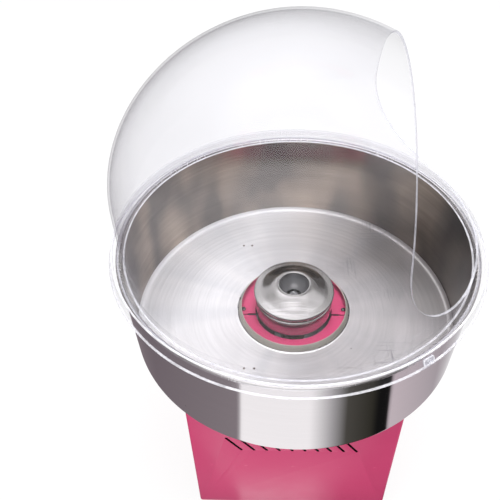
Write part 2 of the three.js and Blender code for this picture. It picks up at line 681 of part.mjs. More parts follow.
// The cap: a flat lip, a cone up to the thick rim of the mouth, and a funnel down to the shaft's nut.
function addHeadCap() {
  const lipTop = HEAD_LIP_Z + 0.8;
  const lipLow = BAND_TOP_Z + GAP;
  const outside = [
    [CUP_RADIUS, lipLow], [HEAD_RADIUS - 0.5, lipLow + 0.6], [HEAD_RADIUS, HEAD_LIP_Z - 1.6],
    [HEAD_RADIUS - 0.8, lipTop], [54, lipTop + 0.3], [46, lipTop + 3.6], [37, lipTop + 8.4],
    [30, lipTop + 11.6], [HEAD_MOUTH_RIM, HEAD_MOUTH_Z - 1], [HEAD_MOUTH_RIM - 0.6, HEAD_MOUTH_Z],
    [HEAD_MOUTH_RADIUS + 0.6, HEAD_MOUTH_Z], [HEAD_MOUTH_RADIUS, HEAD_MOUTH_Z - 0.8],
  ];
  const funnel = [
    [22.2, HEAD_MOUTH_Z - 9], [19, HEAD_MOUTH_Z - 17], [FUNNEL_HOLE_RADIUS, FUNNEL_Z],
    [FUNNEL_HOLE_RADIUS + 0.8, FUNNEL_Z - 1.8], [20.6, HEAD_MOUTH_Z - 18.4], [24, HEAD_MOUTH_Z - 9.5],
  ];
  const underside = [
    [28, lipTop + 10.2], [36, lipTop + 6.8], [45.4, lipTop + 1.8],
    [54, lipTop - 1.6], [56.8, lipLow],
  ];
  add('head_cap', lathe([...outside, ...funnel, ...underside], 32), POLISHED);
}

// A pointed cap nut on the end of the shaft: a hexagon below, a cone above, and a blind bore.
function addHeadNut() {
  const z0 = CUP_BOTTOM_Z + 12 + GAP;
  const shaftTop = FUNNEL_Z - 4;
  const hexagon = rod('z', 9.6, z0, z0 + 9, [0, 0], 6);
  const tip = [
    [0, z0 + 8], [8, z0 + 8], [8, shaftTop + 2], [3, shaftTop + 8], [0, shaftTop + 11],
  ];
  const cone = lathe(tip, 20);
  const bore = rod('z', SHAFT_RADIUS + GAP, z0 - 1, shaftTop + GAP, [0, 0], 20);
  add('head_nut', cut(join(hexagon, cone), bore), POLISHED);
}

// ---- bowl -----------------------------------------------------------------------------------

function addBowl() {
  const t = BOWL_SHEET;
  const under = BOWL_UNDERSIDE;
  const beadCentre = [BOWL_MOUTH_RADIUS + 1, RIM_TOP - BEAD_RADIUS];
  const collarTop = BOWL_FLOOR + COLLAR_HEIGHT;
  const inside = [
    [COLLAR_TOP_RADIUS - t, collarTop], [COLLAR_TOP_RADIUS, collarTop],
    [COLLAR_BASE_RADIUS - 1.2, BOWL_FLOOR + 2], [COLLAR_BASE_RADIUS + 1, BOWL_FLOOR],
    ...arc([BOWL_FLOOR_RADIUS - BOWL_FILLET, BOWL_FLOOR + BOWL_FILLET], BOWL_FILLET, -90, 0, 3),
    [BOWL_MOUTH_RADIUS, RIM_TOP - 2 * BEAD_RADIUS - 0.6],
  ];
  const bead = arc(beadCentre, BEAD_RADIUS, 245, -65, 7);
  const outside = [
    [BOWL_MOUTH_RADIUS + t, RIM_TOP - 2 * BEAD_RADIUS - 0.6],
    ...arc([BOWL_FLOOR_RADIUS - BOWL_FILLET, BOWL_FLOOR + BOWL_FILLET], BOWL_FILLET + t, 0, -90, 3),
    [COLLAR_BASE_RADIUS, under], [COLLAR_BASE_RADIUS - t - 1.6, BOWL_FLOOR + 1],
  ];
  add('bowl', lathe([...inside, ...bead, ...outside], ROUND), STEEL);
}

// ---- clear cover ----------------------------------------------------------------------------

// The cap's outline from the shoulder to the apex, for a given radius and height.
function capOutline(radius, height, steps) {
  return Array.from({ length: steps + 1 }, (_, i) => {
    const angle = (Math.PI / 2) * (i / steps);
    const power = 2 / COVER_CAP_POWER;
    const r = i === steps ? 0 : radius * Math.cos(angle) ** power;
    return [r, COVER_SHOULDER_Z + height * Math.sin(angle) ** power];
  });
}

// The wall goes down inside the bowl's mouth. Above the bowl's rim a flange springs from it, with a
// rib below that rests on the rim and a skirt that slants out and down round the outside.
function coverShell() {
  const t = COVER_WALL;
  const root = COVER_RADIUS + COVER_FILLET;
  const outer = [
    [SKIRT_RADIUS - 1.2, SKIRT_BOTTOM_Z], [SKIRT_RADIUS, SKIRT_BOTTOM_Z + 0.6],
    [SKIRT_RADIUS - 0.6, SKIRT_BOTTOM_Z + 4.6], [FLANGE_RADIUS + 1.6, FLANGE_Z - 1.6],
    [FLANGE_RADIUS, FLANGE_Z],
    ...arc([root, FLANGE_Z + COVER_FILLET], COVER_FILLET, -90, -180, 2),
    ...capOutline(COVER_RADIUS, COVER_CAP_HEIGHT, 9),
  ];
  const ribTop = FLANGE_Z - t;
  const inner = [
    ...capOutline(COVER_RADIUS - t, COVER_CAP_HEIGHT - t, 9).reverse(),
    [COVER_RADIUS - t, COVER_FOOT_Z], [COVER_RADIUS, COVER_FOOT_Z], [COVER_RADIUS, ribTop],
    [RIB_RADIUS - 1, ribTop], [RIB_RADIUS - 1, RIM_TOP + GAP], [RIB_RADIUS + 1, RIM_TOP + GAP],
    [RIB_RADIUS + 1, ribTop], [FLANGE_RADIUS - 1.4, ribTop],
    [SKIRT_RADIUS - t - 0.6, SKIRT_BOTTOM_Z + 4.6], [SKIRT_RADIUS - t, SKIRT_BOTTOM_Z + 0.6],
  ];
  return lathe([...outer, ...inner], ROUND);
}

// The opening: all beyond an upright plane, widening below as a quarter ellipse down to the sill.
function openingTool() {
  const shape = new THREE.Shape();
  const reach = 320;
  shape.moveTo(OPENING_X, OPENING_FLARE_TOP);
  const flareWidth = OPENING_SILL_X - OPENING_X;
  const flareHeight = OPENING_FLARE_TOP - OPENING_SILL;
  shape.absellipse(
    OPENING_SILL_X, OPENING_FLARE_TOP, flareWidth, flareHeight, Math.PI, 1.5 * Math.PI,
  );
  shape.lineTo(reach, OPENING_SILL);
  shape.lineTo(reach, 900);
  shape.lineTo(OPENING_X, 900);
  return spreadY(shape, -reach, reach, 8).rotateZ(THREE.MathUtils.degToRad(OPENING_TURN));
}

function addCover() {
  add('clear_cover', cut(coverShell(), openingTool()), CLEAR);
  addCatch();
}

// A small moulded lug that lies on the cover's slanting skirt, front left.
function addCatch() {
  const outline = roundedRectangle(0, 0, 5.2, 8.5, 3);
  const lug = raised(outline, 0, 2.4, 3);
  const slant = Math.atan2(FLANGE_Z - SKIRT_BOTTOM_Z - 6, SKIRT_RADIUS - FLANGE_RADIUS - 2.2);
  lug.rotateY(slant).translate(CATCH_RADIUS, 0, CATCH_Z);
  add('cover_catch', lug.rotateZ(THREE.MathUtils.degToRad(CATCH_AZIMUTH)), CLEAR);
}

// ---- the machine ----------------------------------------------------------------------------

addSidePanels();
addTopPlates();
addSeamScrews();
addBase();
addFeet();
addShelf();
addFrontPanel();
addBackPanel();
addDrawer();
addRunners();
addControlPlate();
addVoltmeter();
addSwitch('power', -SWITCH_Y, RED);
addSwitch('heat', SWITCH_Y, BLACK);
addInlet();
addFuse();
addTerminalBlock();
addCapacitor();
addMotorMounts();
addMotor();
addShaft();
addSlipRings();
addBrushes();
addHeadCup();
addFlossBand();
addHeater();
addHeadCap();
addHeadNut();
addBowl();
addCover();

export default machine;
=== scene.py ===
# Cotton candy machine: the looks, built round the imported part. Metres, +Z up, the operator stands at +X.
# Shapes are written in millimetres. new_object scales them once, and moved does the same for places.
import json
import math
import random
from functools import partial

import bmesh
import bpy
from mathutils import Matrix, Vector


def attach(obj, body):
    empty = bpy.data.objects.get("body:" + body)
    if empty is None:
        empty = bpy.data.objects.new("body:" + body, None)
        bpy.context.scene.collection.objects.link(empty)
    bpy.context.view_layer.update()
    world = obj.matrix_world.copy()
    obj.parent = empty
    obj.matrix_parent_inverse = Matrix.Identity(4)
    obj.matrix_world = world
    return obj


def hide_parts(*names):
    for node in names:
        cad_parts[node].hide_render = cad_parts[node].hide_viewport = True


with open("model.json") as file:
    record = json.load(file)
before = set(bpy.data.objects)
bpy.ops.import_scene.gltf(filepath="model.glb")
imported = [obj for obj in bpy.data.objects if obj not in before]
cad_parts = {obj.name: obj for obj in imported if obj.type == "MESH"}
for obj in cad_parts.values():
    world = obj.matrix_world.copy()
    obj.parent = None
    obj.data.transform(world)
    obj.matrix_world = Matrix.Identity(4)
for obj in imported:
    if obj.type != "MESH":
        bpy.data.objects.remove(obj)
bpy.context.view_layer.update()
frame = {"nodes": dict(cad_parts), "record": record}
random.seed(4)

MM = 0.001


# ---- mesh helpers ----

def link(name, mesh):
    obj = bpy.data.objects.new(name, mesh)
    bpy.context.scene.collection.objects.link(obj)
    return obj


def shade(obj, crease=32):
    """Closes small seams, turns faces outwards, and shades smooth except at creases."""
    bm = bmesh.new()
    bm.from_mesh(obj.data)
    bmesh.ops.remove_doubles(bm, verts=bm.verts, dist=2e-6)
    bmesh.ops.recalc_face_normals(bm, faces=bm.faces)
    bm.to_mesh(obj.data)
    bm.free()
    obj.data.shade_smooth()
    obj.data.set_sharp_from_angle(angle=math.radians(crease))


def new_object(name, points, faces, materials, picks=None, crease=32):
    mesh = bpy.data.meshes.new(name)
    mesh.from_pydata([(x * MM, y * MM, z * MM) for x, y, z in points], [], faces)
    for material in materials:
        mesh.materials.append(material)
    if picks:
        mesh.polygons.foreach_set("material_index", picks)
    obj = link(name, mesh)
    shade(obj, crease)
    return obj


def bake(obj, crease=None):
    """Turns the object's modifiers into its mesh."""
    graph = bpy.context.evaluated_depsgraph_get()
    mesh = bpy.data.meshes.new_from_object(obj.evaluated_get(graph))
    obj.modifiers.clear()
    obj.data = mesh
    if crease:
        shade(obj, crease)
    return obj


def carve(obj, cutters, mode="DIFFERENCE", crease=32):
    for cutter in cutters:
        step = obj.modifiers.new("carve", "BOOLEAN")
        step.operation, step.solver, step.object = mode, "EXACT", cutter
    bake(obj, crease)
    for cutter in cutters:
        bpy.data.objects.remove(cutter)
    return obj


def soften(obj, width, segments=2, angle=38, crease=32):
    """Rounds the object's sharp edges by this many millimetres."""
    step = obj.modifiers.new("soften", "BEVEL")
    step.width, step.segments, step.limit_method = width * MM, segments, "ANGLE"
    step.angle_limit = math.radians(angle)
    return bake(obj, crease)


def lathe(name, outline, materials, segments=192, at=(0, 0), picks=None, crease=32):
    """A closed (radius, height) outline turned about a vertical line. picks gives each step's material."""
    count = len(outline)
    points, faces, face_picks = [], [], []
    for k in range(segments):
        angle = 2 * math.pi * k / segments
        c, s = math.cos(angle), math.sin(angle)
        points += [(at[0] + r * c, at[1] + r * s, z) for r, z in outline]
    for k in range(segments):
        a, b = k * count, ((k + 1) % segments) * count
        for i in range(count):
            j = (i + 1) % count
            if outline[i][0] == 0 and outline[j][0] == 0:
                continue
            ring = [a + i, b + i, b + j, a + j]
            if outline[i][0] == 0:
                ring = [a + i, b + j, a + j]
            elif outline[j][0] == 0:
                ring = [a + i, b + i, a + j]
            faces.append(ring)
            face_picks.append(picks[i] if picks else 0)
    return new_object(name, points, faces, materials, face_picks, crease)


PLACES = {"x": lambda u, v, w: (w, u, v), "y": lambda u, v, w: (u, w, v), "z": lambda u, v, w: (u, v, w)}


def prism(name, outline, low, high, axis, materials, crease=32):
    """An outline in the plane across an axis, spread from low to high along it."""
    n, place = len(outline), PLACES[axis]
    points = [place(u, v, low) for u, v in outline] + [place(u, v, high) for u, v in outline]
    faces = [list(range(n))[::-1], list(range(n, 2 * n))]
    faces += [[i, (i + 1) % n, (i + 1) % n + n, i + n] for i in range(n)]
    return new_object(name, points, faces, materials, crease=crease)


def arc(centre, radius, start, end, steps):
    turn = [math.radians(start + (end - start) * i / steps) for i in range(steps + 1)]
    return [(centre[0] + radius * math.cos(t), centre[1] + radius * math.sin(t)) for t in turn]


def rounded(u, v, half_u, half_v, radius, steps=6):
    """A rectangle with round corners, centred on (u, v)."""
    a, b = half_u - radius, half_v - radius
    corners = ((u + a, v - b, -90), (u + a, v + b, 0), (u - a, v + b, 90), (u - a, v - b, 180))
    return [point for x, y, start in corners for point in arc((x, y), radius, start, start + 90, steps)]


def merged(name, parts, crease=32):
    """Several pieces made into one object."""
    bm = bmesh.new()
    materials = []
    for part in parts:
        offset = {}
        for i, material in enumerate(part.data.materials):
            if material not in materials:
                materials.append(material)
            offset[i] = materials.index(material)
        before = len(bm.faces)
        bm.from_mesh(part.data)
        bm.faces.ensure_lookup_table()
        for face in bm.faces[before:]:
            face.material_index = offset.get(face.material_index, 0)
    mesh = bpy.data.meshes.new(name)
    bm.to_mesh(mesh)
    bm.free()
    for material in materials:
        mesh.materials.append(material)
    for part in parts:
        bpy.data.objects.remove(part)
    obj = link(name, mesh)
    shade(obj, crease)
    return obj


def moved(obj, place, degrees=0.0, axis="Y"):
    """Turns the mesh about an axis through the origin, then carries it to a place in millimetres."""
    turn = Matrix.Rotation(math.radians(degrees), 4, axis)
    obj.data.transform(Matrix.Translation([value * MM for value in place]) @ turn)
    return obj


def settle(obj, body, replaces=()):
    """Rides on a body, in place of the CAD nodes it replaces."""
    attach(obj, body)
    if replaces:
        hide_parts(*replaces)
    return obj


# ---- material helpers ----

def feed(tree, socket, value):
    """Links a socket's value, or sets it: a colour may be given without its alpha."""
    if isinstance(value, bpy.types.NodeSocket):
        tree.links.new(value, socket)
    elif socket.type == "RGBA" and len(value) == 3:
        socket.default_value = (*value, 1)
    else:
        socket.default_value = value


def add_node(tree, kind, inputs=None, **settings):
    """Adds a shader node with these settings and inputs, and gives its outputs."""
    node = tree.nodes.new("ShaderNode" + kind)
    for key, value in settings.items():
        setattr(node, key, value)
    for key, value in (inputs or {}).items():
        feed(tree, node.inputs[key], value)
    return node.outputs


class Shader:
    """A node material that starts from one Principled shader."""

    def __init__(self, name, colour, roughness, metallic=0.0, **constants):
        self.material = bpy.data.materials.new(name)
        self.material.use_nodes = True
        self.material.diffuse_color = (*colour, 1)
        self.tree = self.material.node_tree
        self.main = self.tree.nodes["Principled BSDF"]
        self.node = partial(add_node, self.tree)
        self.use(Base_Color=colour, Roughness=roughness, Metallic=metallic, **constants)
        self.place = self.node("TexCoord")["Object"]

    def math(self, operation, *values):
        return self.node("Math", dict(enumerate(values)), operation=operation)[0]

    def mul(self, a, b):
        return self.math("MULTIPLY", a, b)

    def add(self, a, b):
        return self.math("ADD", a, b)

    def vector(self, operation, a, b=None, output=0):
        inputs = {0: a} if b is None else {0: a, 1: b}
        return self.node("VectorMath", inputs, operation=operation)[output]

    def noise(self, scale, detail=3, rough=0.5, at=None, distortion=0.0):
        inputs = {"Vector": at or self.place, "Scale": scale, "Detail": detail, "Roughness": rough,
                  "Distortion": distortion}
        return self.node("TexNoise", inputs)["Fac"]

    def span(self, value, low, high, to_low=0.0, to_high=1.0):
        inputs = {"Value": value, "From Min": low, "From Max": high, "To Min": to_low, "To Max": to_high}
        return self.node("MapRange", inputs)["Result"]

    def blend(self, share, a, b, mode="MIX"):
        inputs = {"Factor": share, 6: a, 7: b}
        return self.node("Mix", inputs, data_type="RGBA", blend_type=mode)[2]

    def stretched(self, x, y, z):
        return self.vector("MULTIPLY", self.place, (x, y, z))

    def round_place(self, across, along, turn):
        """(radius x across, angle x turn, height x along), for lines that run round the machine's axis."""
        split = self.node("SeparateXYZ", {0: self.place})
        flat = self.node("CombineXYZ", {0: split[0], 1: split[1]})[0]
        radius = self.vector("LENGTH", flat, output="Value")
        side = self.node("SeparateXYZ", {0: self.vector("NORMALIZE", flat)})
        u = self.math("MULTIPLY_ADD", side[0], turn, self.mul(radius, across))
        v = self.mul(side[1], turn)
        w = self.mul(split[2], along)
        return self.node("CombineXYZ", {0: u, 1: v, 2: w})[0]

    def bump(self, height, distance, strength):
        inputs = {"Height": height, "Distance": distance, "Strength": strength}
        return self.node("Bump", inputs)["Normal"]

    def edge(self, radius):
        """1 at convex and concave edges within this distance, 0 elsewhere."""
        bent = self.node("Bevel", {"Radius": radius}, samples=4)[0]
        flat = self.node("NewGeometry")["Normal"]
        along = self.vector("DOT_PRODUCT", bent, flat, "Value")
        return self.span(self.math("SUBTRACT", 1.0, along), 0.02, 0.25)

    def hairlines(self, scale, width, amount):
        """Thin bright lines, broken up by a coarse noise."""
        wander = self.node("TexNoise", {"Vector": self.place, "Scale": scale * 0.3, "Detail": 1})
        bent = self.vector("ADD", self.place, wander["Color"])
        cell = self.node("TexVoronoi", {"Vector": bent, "Scale": scale}, feature="DISTANCE_TO_EDGE")
        line = self.span(cell["Distance"], 0.0, width, 1.0, 0.0)
        return self.mul(line, self.span(self.noise(scale * 0.7, 2), 1 - amount, 1.15 - amount))

    def use(self, **sockets):
        for key, value in sockets.items():
            feed(self.tree, self.main.inputs[key.replace("_", " ")], value)
        return self.material

    def end(self, shader):
        """Ends the material in this shader in place of the Principled one."""
        feed(self.tree, self.tree.nodes["Material Output"].inputs["Surface"], shader)
        return self.material


def times(colour, *factors):
    """The colour made darker or lighter, each channel at most 1."""
    return tuple(min(1, c * factors[i % len(factors)]) for i, c in enumerate(colour))


def powder_coat(name, colour, light, roughness=0.34):
    """Sprayed and baked paint: fine orange peel, slow colour drift, dust, edges rubbed a little lighter."""
    s = Shader(name, colour, roughness, Coat_Weight=0.06, Coat_Roughness=0.2, Specular_IOR_Level=0.22)
    drift = s.span(s.noise(7, 3), 0.3, 0.7)
    rubbed = s.mul(s.edge(0.0012), s.span(s.noise(60, 4), 0.42, 0.62, 0.15, 0.8))
    dust = s.span(s.noise(900, 1), 0.74, 0.8, 0, 0.35)
    base = s.blend(s.mul(drift, 0.35), colour, light)
    base = s.blend(rubbed, base, light)
    base = s.blend(dust, base, (0.75, 0.6, 0.65))
    peel = s.add(s.noise(520, 2, 0.4), s.mul(s.noise(1900, 2), 0.25))
    rough = s.add(s.span(s.noise(22, 4), 0.3, 0.7, roughness - 0.04, roughness + 0.07), dust)
    return s.use(Base_Color=base, Roughness=rough, Normal=s.bump(peel, 1.2e-4, 0.35))


def spun_steel(name, colour, roughness, anisotropy, depth, across=900, along=900, streak=0.14, scuff=0.12,
               right_only=False, painted_shade=None, satin=0.0, swaths=0.0):
    """Stainless turned on a lathe: fine lines round the axis, with smears, scratches and small marks.

    right_only thins the scratches out on the -X side. The next argument is a painted shade, (direction,
    start, end, tint): the colour takes the tint from start to end along the direction, in metres, so that
    side is darker. satin is how dull it is where the painted shade starts.
    swaths is how strong the broad cooler swaths round the axis are.
    """
    s = Shader(name, colour, roughness, 1.0, Anisotropic=anisotropy)
    lines = s.noise(1.0, 2, 0.6, at=s.round_place(across, along, 1.5))
    coarse = s.noise(1.0, 2, 0.5, at=s.round_place(across * 0.16, along * 0.16, 1.2))
    smear = s.noise(9, 3, 0.5, distortion=0.3)
    scratch_from, scratch_full = 0.66, 0.72
    long_way = s.noise(1.0, 0, 0.5, at=s.stretched(11, 420, 11), distortion=0.4)
    other_way = s.noise(1.0, 0, 0.5, at=s.stretched(380, 16, 16), distortion=0.5)
    scuffs = s.math("MAXIMUM", s.span(long_way, scratch_from, scratch_full),
                    s.span(other_way, scratch_from, scratch_full))
    scuffs = s.mul(scuffs, s.span(s.noise(13, 2), 0.45, 0.6))
    if right_only:
        across_floor = s.node("SeparateXYZ", {0: s.place})[0]
        scuffs = s.mul(scuffs, s.span(across_floor, 0.02, 0.14, 0.1, 1.0))
    spots = s.node("TexVoronoi", {"Vector": s.place, "Scale": 26})["Distance"]
    specks = s.mul(s.span(spots, 0.018, 0.034, 1, 0), s.span(s.noise(9, 1), 0.52, 0.6))
    turned = s.add(s.mul(lines, 0.6), s.mul(smear, 0.4))
    base = s.blend(s.span(turned, 0.3, 0.7), times(colour, 1 - streak), colour)
    base = s.blend(s.mul(specks, 0.8), base, (0.10, 0.075, 0.065))
    base = s.blend(s.mul(scuffs, min(1.0, scuff * 2.5)), base, (0.9, 0.9, 0.92))
    if swaths:
        broad = s.noise(1.0, 1, 0.5, at=s.round_place(0.0, 6.0, 3.2), distortion=0.3)
        base = s.blend(s.span(broad, 0.38, 0.62, 0.0, swaths), base, times(colour, 0.31, 0.36, 0.43))
    # Painted shade: the colour darkens by the tint along a direction in space, so one side of the part is
    # darker.
    if painted_shade:
        direction, start, end, tint = painted_shade
        reach = s.vector("DOT_PRODUCT", s.place, direction, "Value")
        wavy = s.math("MULTIPLY_ADD", s.math("SUBTRACT", smear, 0.5), 0.12, reach)
        base = s.blend(s.span(wavy, start, end), base, tint, "MULTIPLY")
        if satin:
            s.use(Metallic=s.span(wavy, start, end, 1.0 - satin, 1.0 - satin * 0.22))
    worn = s.add(s.mul(smear, 0.7), s.mul(coarse, 0.3))
    rough = s.add(s.span(worn, 0.3, 0.7, roughness * 0.8, roughness * 1.3), s.mul(scuffs, scuff))
    tangent = s.node("Tangent", direction_type="RADIAL", axis="Z")[0]
    height = s.add(s.add(lines, s.mul(coarse, 0.7)), s.mul(scuffs, -0.5))
    return s.use(Base_Color=base, Roughness=rough, Tangent=tangent, Normal=s.bump(height, depth, 0.5))


def plain_metal(name, colour, roughness, grain=(40, 40, 900), depth=3e-5, spangle=0.0, satin=0.0):
    """Sheet or machined metal with a straight grain, blotches, and brighter rubbed edges."""
    s = Shader(name, colour, roughness, 1.0 - satin)
    lines = s.noise(1.0, 3, 0.6, at=s.stretched(*grain))
    blotch = s.noise(30, 4)
    base = s.blend(s.span(blotch, 0.3, 0.7), times(colour, 0.8), colour)
    if spangle:
        cell = s.node("TexVoronoi", {"Vector": s.place, "Scale": 120})["Color"]
        red = s.node("SeparateColor", {0: cell})[0]
        base = s.blend(s.mul(red, spangle), base, times(colour, 1.35))
    base = s.blend(s.mul(s.edge(0.0008), 0.4), base, times(colour, 1.3))
    worn = s.add(s.mul(lines, 0.5), s.mul(blotch, 0.5))
    rough = s.span(worn, 0.3, 0.7, roughness * 0.8, roughness * 1.25)
    return s.use(Base_Color=base, Roughness=rough, Normal=s.bump(lines, depth, 0.5))


def moulded(name, colour, roughness, grain=1400, depth=6e-5):
    """Moulded plastic or rubber: fine grain, slight mottling, edges a little polished by handling."""
    s = Shader(name, colour, roughness)
    fine = s.add(s.noise(grain, 2), s.mul(s.noise(grain * 0.25, 2), 0.5))
    mottle = s.noise(45, 4)
    lighter = tuple(min(1, c * 1.5 + 0.004) for c in colour)
    base = s.blend(s.span(mottle, 0.35, 0.75, 0, 0.5), colour, lighter)
    base = s.blend(s.mul(s.edge(0.0007), 0.35), base, lighter)
    dust = s.span(s.noise(700, 1), 0.72, 0.8, 0, 0.12)
    rough = s.add(s.span(mottle, 0.3, 0.7, roughness * 0.88, min(1, roughness * 1.15)), dust)
    return s.use(Base_Color=base, Roughness=rough, Normal=s.bump(fine, depth, 0.4))


def clear_plastic(name, tint, haze, lift=0.02, gleam=0.25, milk=(0.93, 0.93, 0.97), side_tint=0.91):
    """A thin clear wall: it lets light straight through, and dims and mirrors more at a glancing angle."""
    s = Shader(name, milk, 0.5, IOR=1.49)
    facing = s.node("LayerWeight", {"Blend": 0.5})["Facing"]
    mirror_share = s.math("MULTIPLY_ADD", s.math("POWER", facing, 5.0), gleam, lift)
    smudge = s.span(s.noise(12, 4, 0.6), 0.45, 0.75)
    cloud = s.math("MULTIPLY_ADD", smudge, haze * 0.5, haze * 0.5)
    cloud = s.math("MULTIPLY_ADD", s.hairlines(18, 0.006, 0.45), 0.05, cloud)
    deep = s.blend(s.math("POWER", facing, 2.0), tint, times(tint, side_tint))
    through = s.node("BsdfTransparent", {"Color": deep})[0]
    gloss = {"Color": (0.95, 0.95, 0.97), "Roughness": s.span(smudge, 0, 1, 0.02, 0.07)}
    mirror = s.node("BsdfGlossy", gloss)[0]
    wall = s.node("MixShader", {0: mirror_share, 1: through, 2: mirror})[0]
    return s.end(s.node("MixShader", {0: cloud, 1: wall, 2: s.main.outputs[0]})[0])


def clear_edge(name, share, tint, milk):
    """The cut and rounded edges of the clear wall: milky, partly see-through, with a faint painted glow."""
    # Painted glow: a faint emission in the milk colour.
    s = Shader(name, milk, 0.18, IOR=1.49, Emission_Color=milk, Emission_Strength=0.06)
    ripple = s.noise(240, 3)
    through = s.node("BsdfTransparent", {"Color": tint})[0]
    s.use(Base_Color=s.blend(s.span(ripple, 0.35, 0.65), times(milk, 0.86), milk),
          Normal=s.bump(ripple, 0.0001, 0.3))
    mix = s.span(s.noise(60, 2), 0.3, 0.7, share * 0.8, share * 1.2)
    return s.end(s.node("MixShader", {0: mix, 1: through, 2: s.main.outputs[0]})[0])


PINK = powder_coat("pink_paint", (0.62, 0.052, 0.165), (0.70, 0.085, 0.21))
# Painted shade on the bowl floor: darker towards +X and a little towards -Y.
FLOOR_PAINTED_SHADE = ((0.9, -0.35, 0), -0.12, 0.07, (0.67, 0.65, 0.655))
FLOOR_STEEL = spun_steel("bowl_steel_floor", (0.93, 0.92, 0.925), 0.46, 0.6, 4e-6, 240, 240, 0.2, 0.5,
                         right_only=True, painted_shade=FLOOR_PAINTED_SHADE, satin=0.74, swaths=0.15)
# Painted shade on the bowl's inside wall: darker towards -Y and a little towards +X, down to a quarter.
WALL_PAINTED_SHADE = ((0.35, -0.94, 0), -0.24, 0.02, (0.25, 0.245, 0.25))
WALL_STEEL = spun_steel("bowl_steel_wall", (0.57, 0.49, 0.42), 0.17, 0.5, 1e-6, 190, 190, 0.28, 0.0,
                        painted_shade=WALL_PAINTED_SHADE, swaths=0.75)
COLLAR_STEEL = plain_metal("bowl_steel_collar", (0.52, 0.49, 0.43), 0.42, (300, 300, 60), 2e-6,
                           satin=0.65)
BOWL_OUT = spun_steel("bowl_steel_outside", (0.68, 0.66, 0.67), 0.05, 0.1, 5e-7, 300, 300, 0.03, 0.0)
RIM_STEEL = spun_steel("bowl_steel_rim", (0.82, 0.81, 0.82), 0.24, 0.4, 2e-6, 700, 700, 0.15, 0.1)
HEAD = spun_steel("head_steel", (0.42, 0.41, 0.405), 0.14, 0.5, 6e-7, 300, 300, 0.12, 0.05)
HEAD_DARK = spun_steel("head_steel_inside", (0.34, 0.34, 0.35), 0.3, 0.4, 2e-5, 900, 900)
BAND_STEEL = spun_steel("slot_band_steel", (0.28, 0.22, 0.19), 0.3, 0.3, 1e-5, 700, 700, 0.3, 0.2)
CLEAR = clear_plastic("clear_plastic", (0.990, 0.989, 0.998), 0.008)
CLEAR_RIM = clear_plastic("clear_plastic_rim", (0.984, 0.983, 0.988), 0.014, 0.02, 0.3, (0.86, 0.85, 0.90),
                          0.94)
CLEAR_EDGE = clear_edge("clear_plastic_edge_painted_glow", 0.5, (0.80, 0.80, 0.84), (0.72, 0.72, 0.77))
# Painted glint: bright white lines at the skirt's bottom edge, the flange's outer corner, the foot ring and
# the catch.
PAINTED_GLINT = clear_edge("clear_plastic_painted_glint", 0.62, (0.86, 0.86, 0.90), (0.95, 0.95, 0.98))
LENS = clear_plastic("lens_plastic", (0.97, 0.97, 0.97), 0.006)
SCREW = plain_metal("screw_steel", (0.16, 0.15, 0.15), 0.15, (300, 300, 300))
# Painted shade: a near-black look for the faces inside the cabinet, where only shade falls.
SHADE = moulded("painted_shade_inside", (0.012, 0.008, 0.009), 0.7)
ZINC = plain_metal("zinc_steel", (0.46, 0.47, 0.49), 0.36, spangle=0.35)
STEEL = plain_metal("bare_steel", (0.56, 0.56, 0.57), 0.25, (600, 600, 40))
ALUMINIUM = plain_metal("aluminium", (0.62, 0.63, 0.64), 0.3, (60, 60, 1400))
PLATE = plain_metal("brushed_plate", (0.60, 0.60, 0.61), 0.28, (900, 12, 1400), 2e-5)
BRASS = plain_metal("brass", (0.6, 0.42, 0.14), 0.25, (60, 60, 900))
BLACK = moulded("black_plastic", (0.014, 0.014, 0.015), 0.42)
GLOSS = moulded("gloss_black", (0.009, 0.009, 0.01), 0.16, 500, 2e-5)
RUBBER = moulded("rubber", (0.02, 0.02, 0.02), 0.78, 900, 0.0001)
WHITE = moulded("white_plastic", (0.78, 0.78, 0.75), 0.45)
RED = moulded("red_plastic", (0.55, 0.02, 0.018), 0.25, 900, 2e-5)
PHENOLIC = moulded("phenolic", (0.13, 0.06, 0.03), 0.5)
CARBON = moulded("carbon", (0.03, 0.03, 0.032), 0.65)
ENAMEL = powder_coat("black_enamel", (0.012, 0.012, 0.014), (0.04, 0.04, 0.045), 0.4)
WINDING = moulded("varnished_winding", (0.07, 0.04, 0.03), 0.4)
MARK = moulded("white_marking", (0.8, 0.8, 0.8), 0.5)
INK = moulded("black_marking", (0.02, 0.02, 0.022), 0.5)

# What the CAD nodes that nothing replaces wear, by their material slot.
NODE_LOOKS = {
    "pink_paint": PINK, "bowl_steel": FLOOR_STEEL, "head_steel": HEAD, "zinc_steel": ZINC,
    "bare_steel": STEEL, "aluminium": ALUMINIUM, "brass": BRASS, "dark_copper": WINDING,
    "black_steel": ENAMEL, "black_plastic": BLACK, "gloss_black": GLOSS, "rubber": RUBBER,
    "white_plastic": WHITE, "red_plastic": RED, "phenolic": PHENOLIC, "carbon": CARBON,
    "clear_plastic": LENS,
}


def dress_cad_nodes():
    """Every CAD node gets the material of its slot, and softly rounded edges."""
    slots = {part["node"]: part["material_slot"] for part in frame["record"]["subparts"]}
    for name, obj in frame["nodes"].items():
        obj.data.materials.clear()
        obj.data.materials.append(NODE_LOOKS[slots[name]])
        round_edges = obj.modifiers.new("round_edges", "BEVEL")
        round_edges.width, round_edges.segments = 0.35 * MM, 2
        round_edges.limit_method, round_edges.angle_limit = "ANGLE", math.radians(40)
        round_edges.harden_normals = True


# ---- bowl ----

# The bowl's inside floor and the top of its rim bead.
BOWL_FLOOR = 362.6
RIM_TOP = 520.0
BOWL_STEELS = [FLOOR_STEEL, WALL_STEEL, BOWL_OUT, RIM_STEEL, COLLAR_STEEL]
ON_FLOOR, ON_WALL, OUTSIDE, ON_RIM, ON_COLLAR = range(5)


